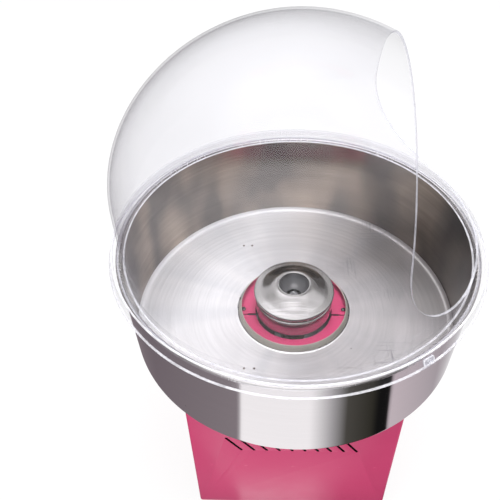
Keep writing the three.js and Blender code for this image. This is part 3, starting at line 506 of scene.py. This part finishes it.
def make_bowl():
    sheet = 1.6
    under = BOWL_FLOOR - sheet
    corner = (243.3, BOWL_FLOOR + 7)
    floor = [(83.6, BOWL_FLOOR + 10.9), (84.4, BOWL_FLOOR + 11.2), (85.2, BOWL_FLOOR + 10.7),
             (87.6, BOWL_FLOOR + 3.6), (88.4, BOWL_FLOOR + 1.4), (89.6, BOWL_FLOOR + 0.3), (91.4, BOWL_FLOOR),
             (96, BOWL_FLOOR), (150, BOWL_FLOOR), (200, BOWL_FLOOR), (238, BOWL_FLOOR), (242, BOWL_FLOOR)]
    floor += arc(corner, 7, -88, -2, 10)
    wall = [(wall_radius(z), z) for z in (369.8, 372, 376, 400, 440, 480, 500, 508, 511, 512.2)]
    bead = arc((256.8, RIM_TOP - 3.5), 3.5, 245, -65, 26)
    back = [(wall_radius(z) + sheet, z) for z in (512.2, 511, 508, 500, 480, 440, 400, 378, 373, 371, 369.8)]
    back += arc(corner, 7 + sheet, -2, -90, 10)
    back += [(238, under), (91.0, under), (88.2, under + 0.6), (86.4, under + 2.2), (83.6, BOWL_FLOOR + 10.2)]
    outline = floor + wall + bead + back
    picks = [ON_COLLAR] * 4 + [ON_RIM] * 2 + [ON_FLOOR] * (len(floor) - 7)
    picks += [ON_WALL] * len(wall) + [ON_RIM] * len(bead)
    picks += [OUTSIDE] * (len(outline) - len(picks))
    obj = lathe("bowl_shell", outline, BOWL_STEELS, 256, picks=picks, crease=50)
    settle(obj, "bowl_body", ["bowl"])
    z = BOWL_FLOOR
    shape = [(0, z - 0.3), (2.0, z - 0.3), (1.8, z + 0.25), (1.0, z + 0.5), (0, z + 0.55)]
    rivets = [lathe("rivet", shape, [WINDING], 20, at)
              for at in ((-86.5, 149), (-71.5, 149), (-75.5, -119), (-60.5, -119))]
    settle(merged("bowl_rivets", rivets), "bowl_body")


def wall_radius(z):
    """The bowl's inside wall leans out a little towards the rim."""
    return 250.3 + 5.5 * (z - 369.6) / 142.8


# ---- clear cover ----

# The flange turns up into the wall by the fillet. Above the shoulder the cap is a superellipse of this power.
COVER = {"flange": 533.0, "fillet": 4.0, "wall": 249.8, "shoulder": 630.0, "cap": 208.0, "power": 1.85}

# The cut is upright at x, then below the flare it curves out to sill_x at the sill.
OPENING = {"x": 118.5, "turn": math.radians(-1.5), "flare": 670.0, "sill": 545.0, "sill_x": 235.0}

# The clear looks in the order the faces pick them. Where the sheet ends, its thickness shows the next one.
COVER_LOOKS = [CLEAR, CLEAR_EDGE, CLEAR_RIM, PAINTED_GLINT, PAINTED_GLINT]
CUT_EDGE, FLANGE, AT_PAINTED_GLINT = 1, 2, 3
FLANGE_LOOK_TOP = 536.5
# Faces below SKIRT_LIP_TOP, and those on the SKIRT_BEND ring above its low height, take the painted glint.
SKIRT_LIP_TOP = 513.4
SKIRT_BEND = {"inside": 263.4, "outside": 265.4, "low": 530.8}


def cover_outline():
    c = COVER
    foot = c["flange"] + c["fillet"]
    points = [(269.7, 512.4), (270.0, 513.2), (269.3, 517.0), (267.7, 522.0), (266.0, 527.2), (265.2, 529.7)]
    points += arc((263.2, 531.0), 2.0, 10, 90, 5) + [(262.2, 533.0), (258.0, 533.0), (254.6, 533.0)]
    points += arc((c["wall"] + c["fillet"], foot), c["fillet"], -90, -180, 6)
    points += [(c["wall"], foot + (c["shoulder"] - foot) * k / 6) for k in range(1, 6)]
    power, steps = 2 / c["power"], 44
    for i in range(steps + 1):
        t = math.pi / 2 * i / steps
        r = c["wall"] * math.cos(t) ** power if i < steps else 0.0
        points.append((r, c["shoulder"] + c["cap"] * math.sin(t) ** power))
    return points


def beyond_opening(point):
    """Above 0 where the cover is cut away, below 0 where it stays. Millimetres."""
    o = OPENING
    x = point.x * math.cos(o["turn"]) + point.y * math.sin(o["turn"])
    if point.z >= o["flare"]:
        return x - o["x"]
    if x >= o["sill_x"]:
        return point.z - o["sill"]
    wide, high = o["sill_x"] - o["x"], o["flare"] - o["sill"]
    reach = math.hypot((o["sill_x"] - x) / wide, (o["flare"] - point.z) / high)
    return (1 - reach) * wide


def turned_sheet(outline, segments):
    """A one-sided sheet: the outline turned about the machine's axis, closed at its last point."""
    bm = bmesh.new()
    turns = [2 * math.pi * k / segments for k in range(segments)]
    rings = [[bm.verts.new((r * math.cos(t), r * math.sin(t), z)) for t in turns] for r, z in outline[:-1]]
    tip = bm.verts.new((0, 0, outline[-1][1]))
    for low, high in zip(rings, rings[1:]):
        for k in range(segments):
            bm.faces.new((low[k], low[(k + 1) % segments], high[(k + 1) % segments], high[k]))
    for k in range(segments):
        bm.faces.new((rings[-1][k], rings[-1][(k + 1) % segments], tip))
    return bm


def cut_opening(bm):
    """Splits the faces along the opening's line and takes away those beyond it."""
    value = {v: beyond_opening(v.co) for v in bm.verts}
    for edge in list(bm.edges):
        a, b = edge.verts
        if (value[a] > 0) == (value[b] > 0) or 0 in (value[a], value[b]):
            continue
        low, high = 0.0, 1.0
        for _ in range(24):
            middle = (low + high) / 2
            here = beyond_opening(a.co.lerp(b.co, middle))
            if (here > 0) == (value[a] > 0):
                low = middle
            else:
                high = middle
        _, made = bmesh.utils.edge_split(edge, a, (low + high) / 2)
        value[made] = 0.0
    bmesh.ops.connect_verts(bm, verts=[v for v in bm.verts if value[v] == 0.0])
    gone = [f for f in bm.faces if beyond_opening(f.calc_center_median()) > 0]
    bmesh.ops.delete(bm, geom=gone, context="FACES")


def make_cover():
    bm = turned_sheet(cover_outline(), 256)
    cut_opening(bm)
    bmesh.ops.remove_doubles(bm, verts=bm.verts, dist=0.25)
    bmesh.ops.recalc_face_normals(bm, faces=bm.faces)
    bmesh.ops.scale(bm, vec=(MM, MM, MM), verts=bm.verts)
    mesh = bpy.data.meshes.new("cover_shell")
    bm.to_mesh(mesh)
    bm.free()
    for look in COVER_LOOKS:
        mesh.materials.append(look)
    for face in mesh.polygons:
        x, y, z = face.center / MM
        on_ring = SKIRT_BEND["inside"] < math.hypot(x, y) < SKIRT_BEND["outside"]
        if z < FLANGE_LOOK_TOP:
            face.material_index = FLANGE
        # Painted glint on the skirt's bottom edge and the flange's outer corner.
        if z < SKIRT_LIP_TOP or (on_ring and z > SKIRT_BEND["low"]):
            face.material_index = AT_PAINTED_GLINT
    obj = link("cover_shell", mesh)
    mesh.shade_smooth()
    wall = obj.modifiers.new("wall", "SOLIDIFY")
    wall.thickness, wall.offset, wall.use_even_offset = 3 * MM, -1, True
    wall.material_offset_rim = 1
    bake(obj)
    rim = obj.modifiers.new("rim", "BEVEL")
    rim.width, rim.segments, rim.limit_method = 0.7 * MM, 2, "ANGLE"
    rim.angle_limit, rim.material = math.radians(60), CUT_EDGE
    bake(obj)
    obj.data.shade_smooth()
    obj.data.set_sharp_from_angle(angle=math.radians(50))
    settle(obj, "cover_body", ["clear_cover"])
    foot = [(246.9, 531.5), (246.9, 519.2), (247.4, 518.6), (249.2, 518.6), (249.7, 519.2), (249.7, 529.8)]
    rib = [(255.9, 529.9), (255.9, 521.0), (256.4, 520.4), (257.2, 520.4), (257.7, 521.0), (257.7, 529.9)]
    # The foot ring's tip wears the painted glint.
    parts = [lathe("ring", shape, [CLEAR_RIM, tip], 256, picks=[0, 1, 1, 1, 0, 0])
             for shape, tip in ((foot, PAINTED_GLINT), (rib, CLEAR_EDGE))]
    settle(merged("cover_foot_and_rib", parts), "cover_body")


def make_catch():
    """A small lug with a button, flat on the slanting skirt."""
    lug = prism("lug", rounded(0, 0, 5.0, 8.4, 3.0), 0, 1.8, "z", [CLEAR_EDGE])
    # The border and the button wear the painted glint.
    border = prism("border", rounded(0, 0, 4.9, 8.3, 2.9), 1.8, 2.5, "z", [PAINTED_GLINT])
    carve(border, [prism("inner", rounded(0, 0, 3.7, 7.1, 2.2), 1, 4, "z", [PAINTED_GLINT])])
    soften(lug, 0.5, 3)
    button = lathe("button", [(1.5, 1.7), (2.6, 1.7), (2.5, 3.0), (1.6, 3.1)], [PAINTED_GLINT], 32)
    obj = merged("cover_lug", [lug, border, button])
    moved(obj, (267.6, 0, 524.6), math.degrees(math.atan2(14.6, 4.8)))
    moved(obj, (0, 0, 0), -55.5, "Z")
    settle(obj, "cover_body", ["cover_catch"])


# ---- spinner head ----

def make_head():
    top = 422.0
    lip = 408.5
    outside = [(61.2, 403.2), (62.2, 403.5), (62.8, 404.4), (63.0, 406.0), (62.8, 407.5), (62.2, 408.3),
               (61.2, lip + 0.1), (54.4, lip + 0.4), (52.6, lip + 0.9), (50.0, lip + 1.8), (46, lip + 3.6),
               (37, lip + 8.4), (30.4, lip + 11.7), (28.2, lip + 12.2), (27.2, lip + 12.4),
               (26.8, lip + 12.9), (26.5, top - 0.6), (26.0, top), (25.0, top + 0.1), (24.0, top),
               (23.4, top - 0.6)]
    funnel = [(23.2, 419.0), (22.7, 415.5), (21.6, 411.0), (20.2, 407.4), (18.0, 403.6), (15.4, 400.0),
              (12.4, 397.3), (12.0, 396.6), (12.3, 395.6), (13.2, 395.4), (17.6, 400.0), (20.8, 404.2),
              (23.0, 409.0), (24.2, 413.5), (25.2, 417.4)]
    under = [(28, lip + 10.1), (36, lip + 6.7), (45.4, lip + 1.7), (54, lip - 1.7), (56.8, 403.2)]
    outline = outside + funnel + under
    picks = [0] * (len(outside) - 1) + [1] * (len(outline) - len(outside) + 1)
    cap = lathe("head_cap_polished", outline, [HEAD, HEAD_DARK], 192, picks=picks, crease=40)
    settle(cap, "spinner", ["head_cap"])

    floor = 363.6
    outer = [(55.8, floor), (57.4, floor + 0.5), (58.6, floor + 1.4), (59.4, floor + 2.7),
             (59.9, floor + 4.5), (60.3, floor + 7.5), (60.7, floor + 11.0), (61.0, floor + 16.0),
             (61.2, floor + 22.0), (61.2, 395.6), (61.0, 396.6), (60.2, 397.1)]
    inner = [(r - 1.8, max(z, floor + 1.8)) for r, z in reversed(outer[:-1])]
    boss = [(16, floor + 1.8), (14.3, floor + 3.4), (14, floor + 11.5), (13.5, floor + 12), (6.3, floor + 12),
            (6.3, floor - 14), (13.6, floor - 14), (14, floor - 13.6), (14.4, floor - 1.6), (16, floor)]
    cup = lathe("head_cup_polished", outer + inner + boss, [HEAD], 192, crease=40)
    settle(cup, "spinner", ["head_cup"])

    band = lathe("band", [(58.6, 397.5), (59.9, 397.5), (59.9, 402.7), (58.6, 402.7)], [BAND_STEEL], 144)
    slots = []
    slot_count = 36
    for k in range(slot_count):
        slot = prism("slot", [(56, -0.9), (64, -0.9), (64, 0.9), (56, 0.9)], 398.4, 401.9, "z", [BAND_STEEL])
        slots.append(moved(slot, (0, 0, 0), 360 * (k + 0.5) / slot_count, "Z"))
    carve(band, [merged("slots", slots)])
    band.name = "floss_slot_band"
    settle(band, "spinner", ["floss_band"])

    hexagon = arc((0, 0), 9.4, 0, 300, 5)
    body = soften(prism("nut", hexagon, 376.2, 385.4, "z", [STEEL]), 0.5)
    cone = lathe("tip", [(0, 385), (8.0, 385), (7.9, 394.5), (7.4, 396.4), (6.0, 398.2), (3.0, 401.4),
                         (1.2, 403.5), (0.5, 404), (0, 404.1)], [STEEL], 48)
    settle(merged("head_nut_pointed", [body, cone], 30), "spinner", ["head_nut"])


# ---- cabinet ----

# The cabinet's half width, the top of its side panels, and their vent slots from back to front.
HALF = 164.5
SIDE_TOP = 358.1
VENTS = {"count": 10, "first": -81.8, "pitch": 20.55, "foot": 203, "lean": math.radians(180 - 56.3)}
SPOT_WELD_Z = 153


def make_side_panel(name, node, turned):
    """The left panel with its returns at both ends, or the same one turned round for the right."""
    r, sheet, back = 5.0, 2.0, -HALF + 14.0
    near, far = (-HALF + r, -HALF + r), (HALF - r, -HALF + r)
    outline = [(-HALF, back)] + arc(near, r, 180, 270, 10) + arc(far, r, 270, 360, 10)
    outline += [(HALF, back), (HALF - sheet, back)] + arc(far, r - sheet, 360, 270, 8)
    outline += arc(near, r - sheet, 270, 180, 8) + [(-HALF + sheet, back)]
    panel = prism(name, outline, 22, SIDE_TOP, "z", [PINK])
    cutters = []
    c, s = math.cos(VENTS["lean"]), math.sin(VENTS["lean"])
    for k in range(VENTS["count"]):
        along, up = VENTS["first"] + VENTS["pitch"] * k, VENTS["foot"]
        shape = arc((43.9, 0), 2.1, -90, 90, 8) + arc((2.1, 0), 2.1, 90, 270, 8)
        shape = [(u * c - v * s + along, u * s + v * c + up) for u, v in shape]
        cutters.append(prism("slot", shape, -HALF - 8, -HALF + 8, "y", [PINK]))
    carve(panel, [merged("slots", cutters)])
    soften(panel, 0.3, 2, 50)
    # Painted shade on every face behind the panel's outer face, the slot walls among them.
    shade_inside(panel, lambda at: abs(at.x) < 158 and at.y > -HALF + 0.4)
    marks = []
    for x in (-134, -77, 1, 79, 136):
        mark = lathe("mark", [(0, 0), (2.6, 0), (2.3, 0.16), (1.2, 0.05), (0, 0.02)], [PINK], 24)
        marks.append(moved(mark, (x, -HALF, SPOT_WELD_Z), 90, "X"))
    marks = merged(name + "_spot_welds", marks)
    for obj in (panel, marks):
        if turned:
            moved(obj, (0, 0, 0), 180, "Z")
    settle(panel, "cabinet", [node])
    settle(marks, "cabinet")


def shade_inside(obj, hidden):
    """Gives the painted shade, a near-black look, to the faces whose middle is inside the cabinet."""
    obj.data.materials.append(SHADE)
    for face in obj.data.polygons:
        if hidden(face.center / MM):
            face.material_index = 1


def make_top_plates():
    radius, seam, low, high = 61.65, -11.0, 358.4, 360.4
    gap = 0.7
    for name, node, side in (("top_left", "top_plate_left", -1), ("top_right", "top_plate_right", 1)):
        edge = seam + side * gap
        angle = math.degrees(math.asin(edge / radius))
        start, end = (angle, -180 - angle) if side < 0 else (180 - angle, angle)
        far = -side * HALF
        shape = [(-far, side * HALF), (far, side * HALF), (far, edge)]
        shape += arc((0, 0), radius, start, end, 96) + [(-far, edge)]
        plate = prism(name + "_plate", shape, low, high, "z", [PINK])
        cutters = [prism("relief", rounded(x, seam, 8, 1.7, 0.8, 4), 350, 365, "z", [PINK])
                   for x in (-66, 66)]
        if side > 0:
            cutters += [lathe("hole", [(0, 350), (2.4, 350), (2.4, 365), (0, 365)], [PINK], 24, (x, 0))
                        for x in (-81, 81)]
        carve(plate, cutters)
        soften(plate, 0.25, 2, 50)
        # Painted shade on the plate's underside and on the walls of its hole, seam, notches and screw holes.
        shade_inside(plate, lambda at: at.z < high - 0.35 and max(abs(at.x), abs(at.y)) < 160)
        settle(plate, "cabinet", [node])


def screw(x, y, z, direction, size=4.0, turn=0.0):
    """A pan-head screw with a cross slot, its seat at (x, y, z), facing along direction."""
    r = size
    body = lathe("screw", [(0, -0.2), (r * 0.94, -0.2), (r, 0.1), (r, r * 0.2), (r * 0.9, r * 0.38),
                           (r * 0.62, r * 0.52), (0, r * 0.6)], [SCREW], 32)
    w = r * 0.12
    for a, b in ((r * 0.58, w), (w, r * 0.58)):
        cutter = prism("slot", [(-a, -b), (a, -b), (a, b), (-a, b)], r * 0.3, r, "z", [SCREW])
        carve(body, [cutter])
    aim = Vector(direction).to_track_quat("Z", "Y").to_matrix().to_4x4()
    body.data.transform(Matrix.Translation((x * MM, y * MM, z * MM)) @ aim @ Matrix.Rotation(turn, 4, "Z"))
    return body


def make_screws():
    plate = 360.4
    for name, x, turn in (("front", 81, 0.5), ("back", -81, 1.1)):
        obj = screw(x, 0, plate, (0, 0, 1), 4.0, turn)
        settle(obj, "cabinet", ["seam_screw_" + name]).name = "top_screw_" + name
    front, back = [], []
    for y in (-143, 143):
        for z in (36, 190, 344):
            front.append(screw(HALF, y, z, (1, 0, 0), 3.4, random.uniform(0, 1.5)))
            back.append(screw(-HALF, y, z, (-1, 0, 0), 3.4, random.uniform(0, 1.5)))
    for y in (-86, 86):
        for z in (226, 290):
            front.append(screw(HALF + 1.8, y, z, (1, 0, 0), 2.6, random.uniform(0, 1.5)))
    for y in (-86.5, -53.5):
        back.append(screw(-HALF - 3.3, y, 200, (-1, 0, 0), 2.4, random.uniform(0, 1.5)))
    settle(merged("front_screws", front), "cabinet")
    settle(merged("back_screws", back), "cabinet")


def make_feet():
    shape = [(0, 0), (12.6, 0), (13.6, 0.4), (14.6, 1.2), (15.6, 2.4), (15.9, 3.6), (15.4, 5.4), (14.2, 13.0),
             (13.2, 20.0), (13.0, 21.2), (12.4, 21.7), (0, 21.7)]
    at = HALF - 26
    for end, x in (("front", at), ("back", -at)):
        for side, y in (("left", -at), ("right", at)):
            foot = lathe(f"rubber_foot_{end}_{side}", shape, [RUBBER], 64, (x, y))
            settle(foot, "cabinet", [f"foot_{end}_{side}"])


# ---- drawer ----

def make_drawer():
    front = prism("drawer_face", rounded(0, 91, 131, 59, 6, 10), 164.8, 167.8, "x", [PINK])
    soften(front, 1.1, 4, 50)
    settle(front, "drawer", ["drawer_front"])
    make_handle(168.1, 96)


def make_handle(x, z):
    """A moulded bow handle: a rounded bar whose ends flow into flat feet."""
    half, reach = 44.0, 24.0
    one_end = [(x + 0.2, -half), (x + 8, -half), (x + reach - 7, -half + 1.2),
               (x + reach - 1.4, -half + 6.4), (x + reach, -half + 14)]
    curve = smooth_path(one_end + [(x + reach, 0)] + [(u, -v) for u, v in reversed(one_end)], 6)
    ring, end = 20, len(curve) - 1
    points, faces = [], []
    for i, (px, py) in enumerate(curve):
        a, b = curve[max(i - 1, 0)], curve[min(i + 1, end)]
        length = math.hypot(b[0] - a[0], b[1] - a[1])
        nx, ny = -(b[1] - a[1]) / length, (b[0] - a[0]) / length
        share = min(1.0, min(i, end - i) / 9)
        flare = 1.0 + 0.22 * (1 - share) ** 2
        for k in range(ring):
            t = 2 * math.pi * k / ring
            u = 3.6 * flare * abs(math.cos(t)) ** 0.7 * math.copysign(1, math.cos(t))
            v = 5.4 * flare * abs(math.sin(t)) ** 0.7 * math.copysign(1, math.sin(t))
            points.append((max(px + nx * u, x), py + ny * u, z + v))
    for i in range(0, end * ring, ring):
        for k in range(ring):
            after = (k + 1) % ring
            faces.append([i + k, i + after, i + ring + after, i + ring + k])
    faces += [list(range(ring)), [end * ring + k for k in range(ring)]]
    handle = new_object("drawer_bow_handle", points, faces, [BLACK], crease=45)
    settle(handle, "drawer", ["drawer_handle"])


def smooth_path(points, steps):
    """Catmull-Rom points through the given ones."""
    out = []
    padded = [points[0], *points, points[-1]]
    for four in zip(padded, padded[1:], padded[2:], padded[3:]):
        for k in range(steps):
            t = k / steps
            out.append(tuple(0.5 * (2 * b + (c - a) * t + (2 * a - 5 * b + 4 * c - d) * t ** 2
                                    + (3 * b - a - 3 * c + d) * t ** 3) for a, b, c, d in zip(*four)))
    return out + [points[-1]]


# ---- controls ----

# The height of the controls' middle, and the front face of their plate.
CONTROL_Z = 258.0
FACE = 166.3


def make_control_plate():
    plate = prism("control_plate_brushed", rounded(0, CONTROL_Z, 92, 38, 5, 10), 164.8, FACE, "x", [PLATE])
    holes = [prism("hole", arc((0, CONTROL_Z), 27, 0, 352, 44), 150, 180, "x", [PLATE])]
    for y in (-62, 62):
        holes.append(prism("hole", rounded(y, CONTROL_Z, 11.5, 16, 1), 150, 180, "x", [PLATE]))
    carve(plate, holes)
    soften(plate, 0.3, 2, 50)
    settle(plate, "cabinet", ["control_plate"])


def make_meter():
    x = FACE + 0.3
    case = prism("case", rounded(0, CONTROL_Z, 33, 29, 4, 8), x, x + 10, "x", [GLOSS])
    pocket = prism("pocket", rounded(0, CONTROL_Z, 29, 25, 2, 6), x + 3, x + 14, "x", [GLOSS])
    carve(case, [pocket])
    soften(case, 0.9, 3, 50)
    barrel = lathe("barrel", [(0, 130), (25.4, 130), (26, 130.6), (26, x + 0.4), (0, x + 0.4)], [BLACK], 64)
    moved(barrel, (0, 0, CONTROL_Z), 90)
    settle(merged("meter_case", [case, barrel]), "cabinet", ["voltmeter_case"])

    pivot, front = CONTROL_Z - 16, x + 4.1
    parts = [prism("dial", rounded(0, CONTROL_Z, 28.5, 24.5, 2, 6), x + 3.3, front, "x", [WHITE])]
    steps = 25
    for k in range(steps + 1):
        t = math.radians(130 - 80 * k / steps)
        inner, w = (25.6, 0.33) if k % 5 == 0 else (27.4, 0.16)
        c, s = math.cos(t), math.sin(t)
        tick = [(r * c - side * w * s, r * s + side * w * c + pivot)
                for r, side in ((inner, 1), (inner, -1), (30.2, -1), (30.2, 1))]
        parts.append(prism("tick", tick, front - 0.05, front + 0.08, "x", [INK]))
    rim = arc((0, pivot), 30.4, 130, 50, 40) + arc((0, pivot), 30.0, 50, 130, 40)
    parts.append(prism("arc", rim, front - 0.05, front + 0.07, "x", [INK]))
    for value, share in ((0, 0), (100, 0.333), (200, 0.667), (300, 1.0)):
        t = math.radians(130 - 80 * share)
        parts.append(number(str(value), 33.3 * math.cos(t), pivot + 33.3 * math.sin(t) - 0.6, front, 3.6))
    parts.append(number("V", 0, pivot + 12, front, 6.0))
    settle(merged("meter_dial", parts), "cabinet", ["voltmeter_dial"])

    lens = prism("meter_lens", rounded(0, CONTROL_Z, 28.5, 24.5, 2, 6), x + 8.0, x + 9.2, "x", [LENS])
    soften(lens, 0.4, 3, 50)
    settle(lens, "cabinet", ["voltmeter_lens"])
    make_needle(x, pivot)


def number(text, y, z, x, size):
    """Plain figures that stand a hair proud of a face that looks along +X."""
    curve = bpy.data.curves.new("figures", "FONT")
    curve.body, curve.size, curve.extrude = text, size * MM, 0.04 * MM
    curve.align_x, curve.align_y = "CENTER", "CENTER"
    holder = link("figures", curve)
    graph = bpy.context.evaluated_depsgraph_get()
    mesh = bpy.data.meshes.new_from_object(holder.evaluated_get(graph))
    bpy.data.objects.remove(holder)
    mesh.materials.clear()
    mesh.materials.append(INK)
    mesh.transform(Matrix(((0, 0, 1, x * MM), (1, 0, 0, y * MM), (0, 1, 0, z * MM), (0, 0, 0, 1))))
    return link("figures", mesh)


def make_needle(x, pivot):
    half = [(1.1, -4), (0.8, 0), (0.45, 12), (0.16, 29.4)]
    blade = half + [(-u, v) for u, v in reversed(half)]
    needle = prism("blade", blade, x + 5.0, x + 5.5, "x", [RED])
    shape = [(0, 4.6), (2.5, 4.6), (2.6, 4.8), (2.6, 5.9), (2.2, 6.3), (0, 6.3)]
    hub = lathe("hub", [(r, x + height) for r, height in shape], [BLACK], 40)
    moved(hub, (0, 0, 0), 90)
    obj = moved(merged("meter_needle", [needle, hub]), (0, 0, pivot), 40, "X")
    settle(obj, "needle_body", ["voltmeter_needle"])


def make_switch(prefix, y, look):
    x = FACE + 0.3
    bezel = prism("bezel", rounded(y, CONTROL_Z, 14, 19, 2, 6), x, x + 2.5, "x", [BLACK])
    body = prism("body", rounded(y, CONTROL_Z, 11, 15.5, 0.8, 3), 140.5, x + 0.5, "x", [BLACK])
    carve(bezel, [body], "UNION")
    carve(bezel, [prism("pocket", rounded(y, CONTROL_Z, 9, 13.5, 0.8, 4), x - 9, x + 8, "x", [BLACK])])
    soften(bezel, 0.5, 3, 50)
    bezel.name = prefix + "_switch_housing"
    settle(bezel, "cabinet", [prefix + "_switch_body"])

    side = [(-6.5, 0), (-3, -8), (2.6, -12.4), (5.0, -12.4), (4.3, -6.5), (3.7, 0), (4.3, 6.5), (5.0, 12.4),
            (2.6, 12.4), (-3, 8)]
    rocker = prism("rocker", side, -8.5, 8.5, "y", [look])
    soften(rocker, 0.6, 3, 50)
    bar = prism("bar", rounded(0, 7.4, 0.5, 2.6, 0.2, 2), 4.2, 4.75, "x", [MARK])
    hoop = lathe("hoop", [(1.7, 4.2), (2.5, 4.2), (2.5, 4.72), (1.7, 4.72)], [MARK], 40)
    moved(hoop, (0, 0, -7.2), 90)
    obj = moved(merged(prefix + "_rocker_key", [rocker, bar, hoop]), (x + 1, y, CONTROL_Z), 8)
    settle(obj, prefix + "_rocker_body", [prefix + "_rocker"])


# ---- floor, light and camera ----

def square(name, half, z, look):
    """A flat square of this half width at this height, in metres."""
    mesh = bpy.data.meshes.new(name)
    corners = [(-half, -half, z), (half, -half, z), (half, half, z), (-half, half, z)]
    mesh.from_pydata(corners, [], [(0, 1, 2, 3)])
    mesh.materials.append(look)
    return link(name, mesh)


def make_floor():
    paper = Shader("floor_paper", (0.10, 0.10, 0.10), 0.9, Emission_Color=(1, 1, 1), Emission_Strength=0.89)
    floor = square("floor", 30, 0, paper.material)
    floor.visible_glossy = False


# What polished steel sees of the studio floor, by the bearing from the machine: (degrees, colour).
FLOOR_BEARINGS = [
    (-180, (0.20, 0.165, 0.185)), (-120, (0.30, 0.26, 0.28)), (-118, (1.24, 1.22, 1.23)),
    (-82, (1.24, 1.22, 1.23)), (-70, (0.50, 0.49, 0.50)), (-62, (0.09, 0.085, 0.075)),
    (-48, (0.04, 0.038, 0.03)), (-44, (0.01, 0.01, 0.01)), (-38, (0.01, 0.01, 0.01)),
    (-36, (0.72, 0.63, 0.67)), (0, (0.46, 0.41, 0.44)), (30, (0.86, 0.86, 0.87)),
    (75, (0.80, 0.80, 0.81)), (95, (0.10, 0.09, 0.10)), (110, (0.25, 0.21, 0.23)),
    (180, (0.20, 0.165, 0.185)),
]


def make_floor_glints():
    """A plane only reflections see: the studio round the machine, mirrored in its bowl."""
    look = bpy.data.materials.new("studio_round_about")
    look.use_nodes = True
    tree = look.node_tree
    tree.nodes.clear()
    node = partial(add_node, tree)
    split = node("SeparateXYZ", {0: node("TexCoord")["Object"]})
    bearing = node("Math", {0: split[1], 1: split[0]}, operation="ARCTAN2")[0]
    share = node("MapRange", {"Value": bearing, "From Min": -math.pi, "From Max": math.pi})["Result"]
    ramp = tree.nodes.new("ShaderNodeValToRGB")
    feed(tree, ramp.inputs[0], share)
    stops = ramp.color_ramp.elements
    for i, (degrees, colour) in enumerate(FLOOR_BEARINGS):
        stop = stops[i] if i < 2 else stops.new(1.0)
        stop.position, stop.color = (degrees + 180) / 360, (*colour, 1)
    glow = node("Emission", {"Color": ramp.outputs[0]})[0]
    node("OutputMaterial", {"Surface": glow})
    plane = square("floor_seen_in_metal", 9, -0.004, look)
    plane.visible_camera = plane.visible_diffuse = False
    plane.visible_shadow = plane.visible_transmission = False


# Soft boxes that only reflections see: (direction, edge and middle as cosines, colour added).
SOFT_BOXES = [
    ((-0.12, 0.05, 1.0), 0.78, 0.96, (1.25, 1.25, 1.25)),
    ((-0.25, 0.64, 0.73), 0.72, 0.97, (0.90, 0.90, 0.90)),
    ((-0.05, -0.68, 0.73), 0.72, 0.95, (1.15, 1.12, 1.10)),
    ((-0.77, 0.0, 0.64), 0.80, 0.97, (-0.20, -0.20, -0.21)),
    ((0.62, 0.12, 0.77), 0.88, 0.97, (0.95, 0.95, 0.97)),
]


def make_world():
    """White to the camera, an even grey to matt surfaces, and soft boxes to polished ones."""
    world = bpy.data.worlds.new("studio")
    bpy.context.scene.world = world
    world.use_nodes = True
    world.node_tree.nodes.clear()
    node = partial(add_node, world.node_tree)
    direction = node("TexCoord")["Generated"]
    total = node("CombineXYZ", {0: 0.36, 1: 0.345, 2: 0.335})[0]
    for aim, edge, middle, colour in SOFT_BOXES:
        aim = tuple(Vector(aim).normalized())
        along = node("VectorMath", {0: direction, 1: aim}, operation="DOT_PRODUCT")["Value"]
        fade = {"Value": along, "From Min": edge, "From Max": middle}
        share = node("MapRange", fade, interpolation_type="SMOOTHSTEP")["Result"]
        lit = node("VectorMath", {0: colour, "Scale": share}, operation="SCALE")[0]
        total = node("VectorMath", {0: total, 1: lit}, operation="ADD")[0]
    mirrored = node("Background", {"Color": total})[0]
    even = node("Background", {"Color": (0.62, 0.61, 0.62)})[0]
    white = node("Background", {"Color": (1, 1, 1)})[0]
    path = node("LightPath")
    seen = node("MixShader", {0: path["Is Glossy Ray"], 1: even, 2: mirrored})[0]
    whole = node("MixShader", {0: path["Is Camera Ray"], 1: seen, 2: white})[0]
    node("OutputWorld", {"Surface": whole})


# The lamps: (name, place, target, width, power), in metres and watts.
LAMPS = [
    ("key", (-1.3, -1.1, 2.3), (0, 0, 0.42), 1.6, 22),
    ("back", (0.5, 1.9, 2.1), (0, 0, 0.42), 1.8, 18),
    ("side", (2.0, -0.6, 1.5), (0, 0, 0.3), 1.2, 9),
    ("overhead", (0.15, -0.25, 2.5), (0, 0, 0.4), 1.0, 34),
]


def make_lamps():
    for name, place, target, width, power in LAMPS:
        data = bpy.data.lights.new(name, "AREA")
        data.shape, data.size, data.energy = "DISK", width, power
        lamp = link(name, data)
        lamp.visible_glossy = False
        lamp.location = place
        lamp.rotation_mode = "QUATERNION"
        lamp.rotation_quaternion = (Vector(place) - Vector(target)).to_track_quat("Z", "Y")


CAMERA_PLACE = (-0.02771, -0.67329, 1.13284)
CAMERA_AIM = (-0.04240, 0.72441, -0.68807)
CAMERA_ROLL = math.radians(-2.06)


def make_camera():
    forward = Vector(CAMERA_AIM).normalized()
    right = forward.cross(Vector((0, 0, 1))).normalized()
    up = right.cross(forward)
    level = right * math.cos(CAMERA_ROLL) + up * math.sin(CAMERA_ROLL)
    upright = up * math.cos(CAMERA_ROLL) - right * math.sin(CAMERA_ROLL)
    data = bpy.data.cameras.new("camera")
    data.lens, data.sensor_width = 45.02, 36.0
    data.clip_start, data.clip_end = 0.05, 100
    camera = link("camera", data)
    turn = Matrix((level, upright, -forward)).transposed().to_4x4()
    camera.matrix_world = Matrix.Translation(CAMERA_PLACE) @ turn
    bpy.context.scene.camera = camera


make_camera()
dress_cad_nodes()
make_bowl()
make_cover()
make_catch()
make_head()
make_side_panel("left_side_panel", "side_panel_left", False)
make_side_panel("right_side_panel", "side_panel_right", True)
make_top_plates()
make_screws()
make_feet()
make_drawer()
make_control_plate()
make_meter()
make_switch("power", -62, RED)
make_switch("heat", 62, BLACK)
make_floor()
make_floor_glints()
make_world()
make_lamps()

scene = bpy.context.scene
scene.view_settings.view_transform = "Standard"
scene.view_settings.look = "None"
scene.cycles.transparent_max_bounces = 24
scene.cycles.max_bounces = 12
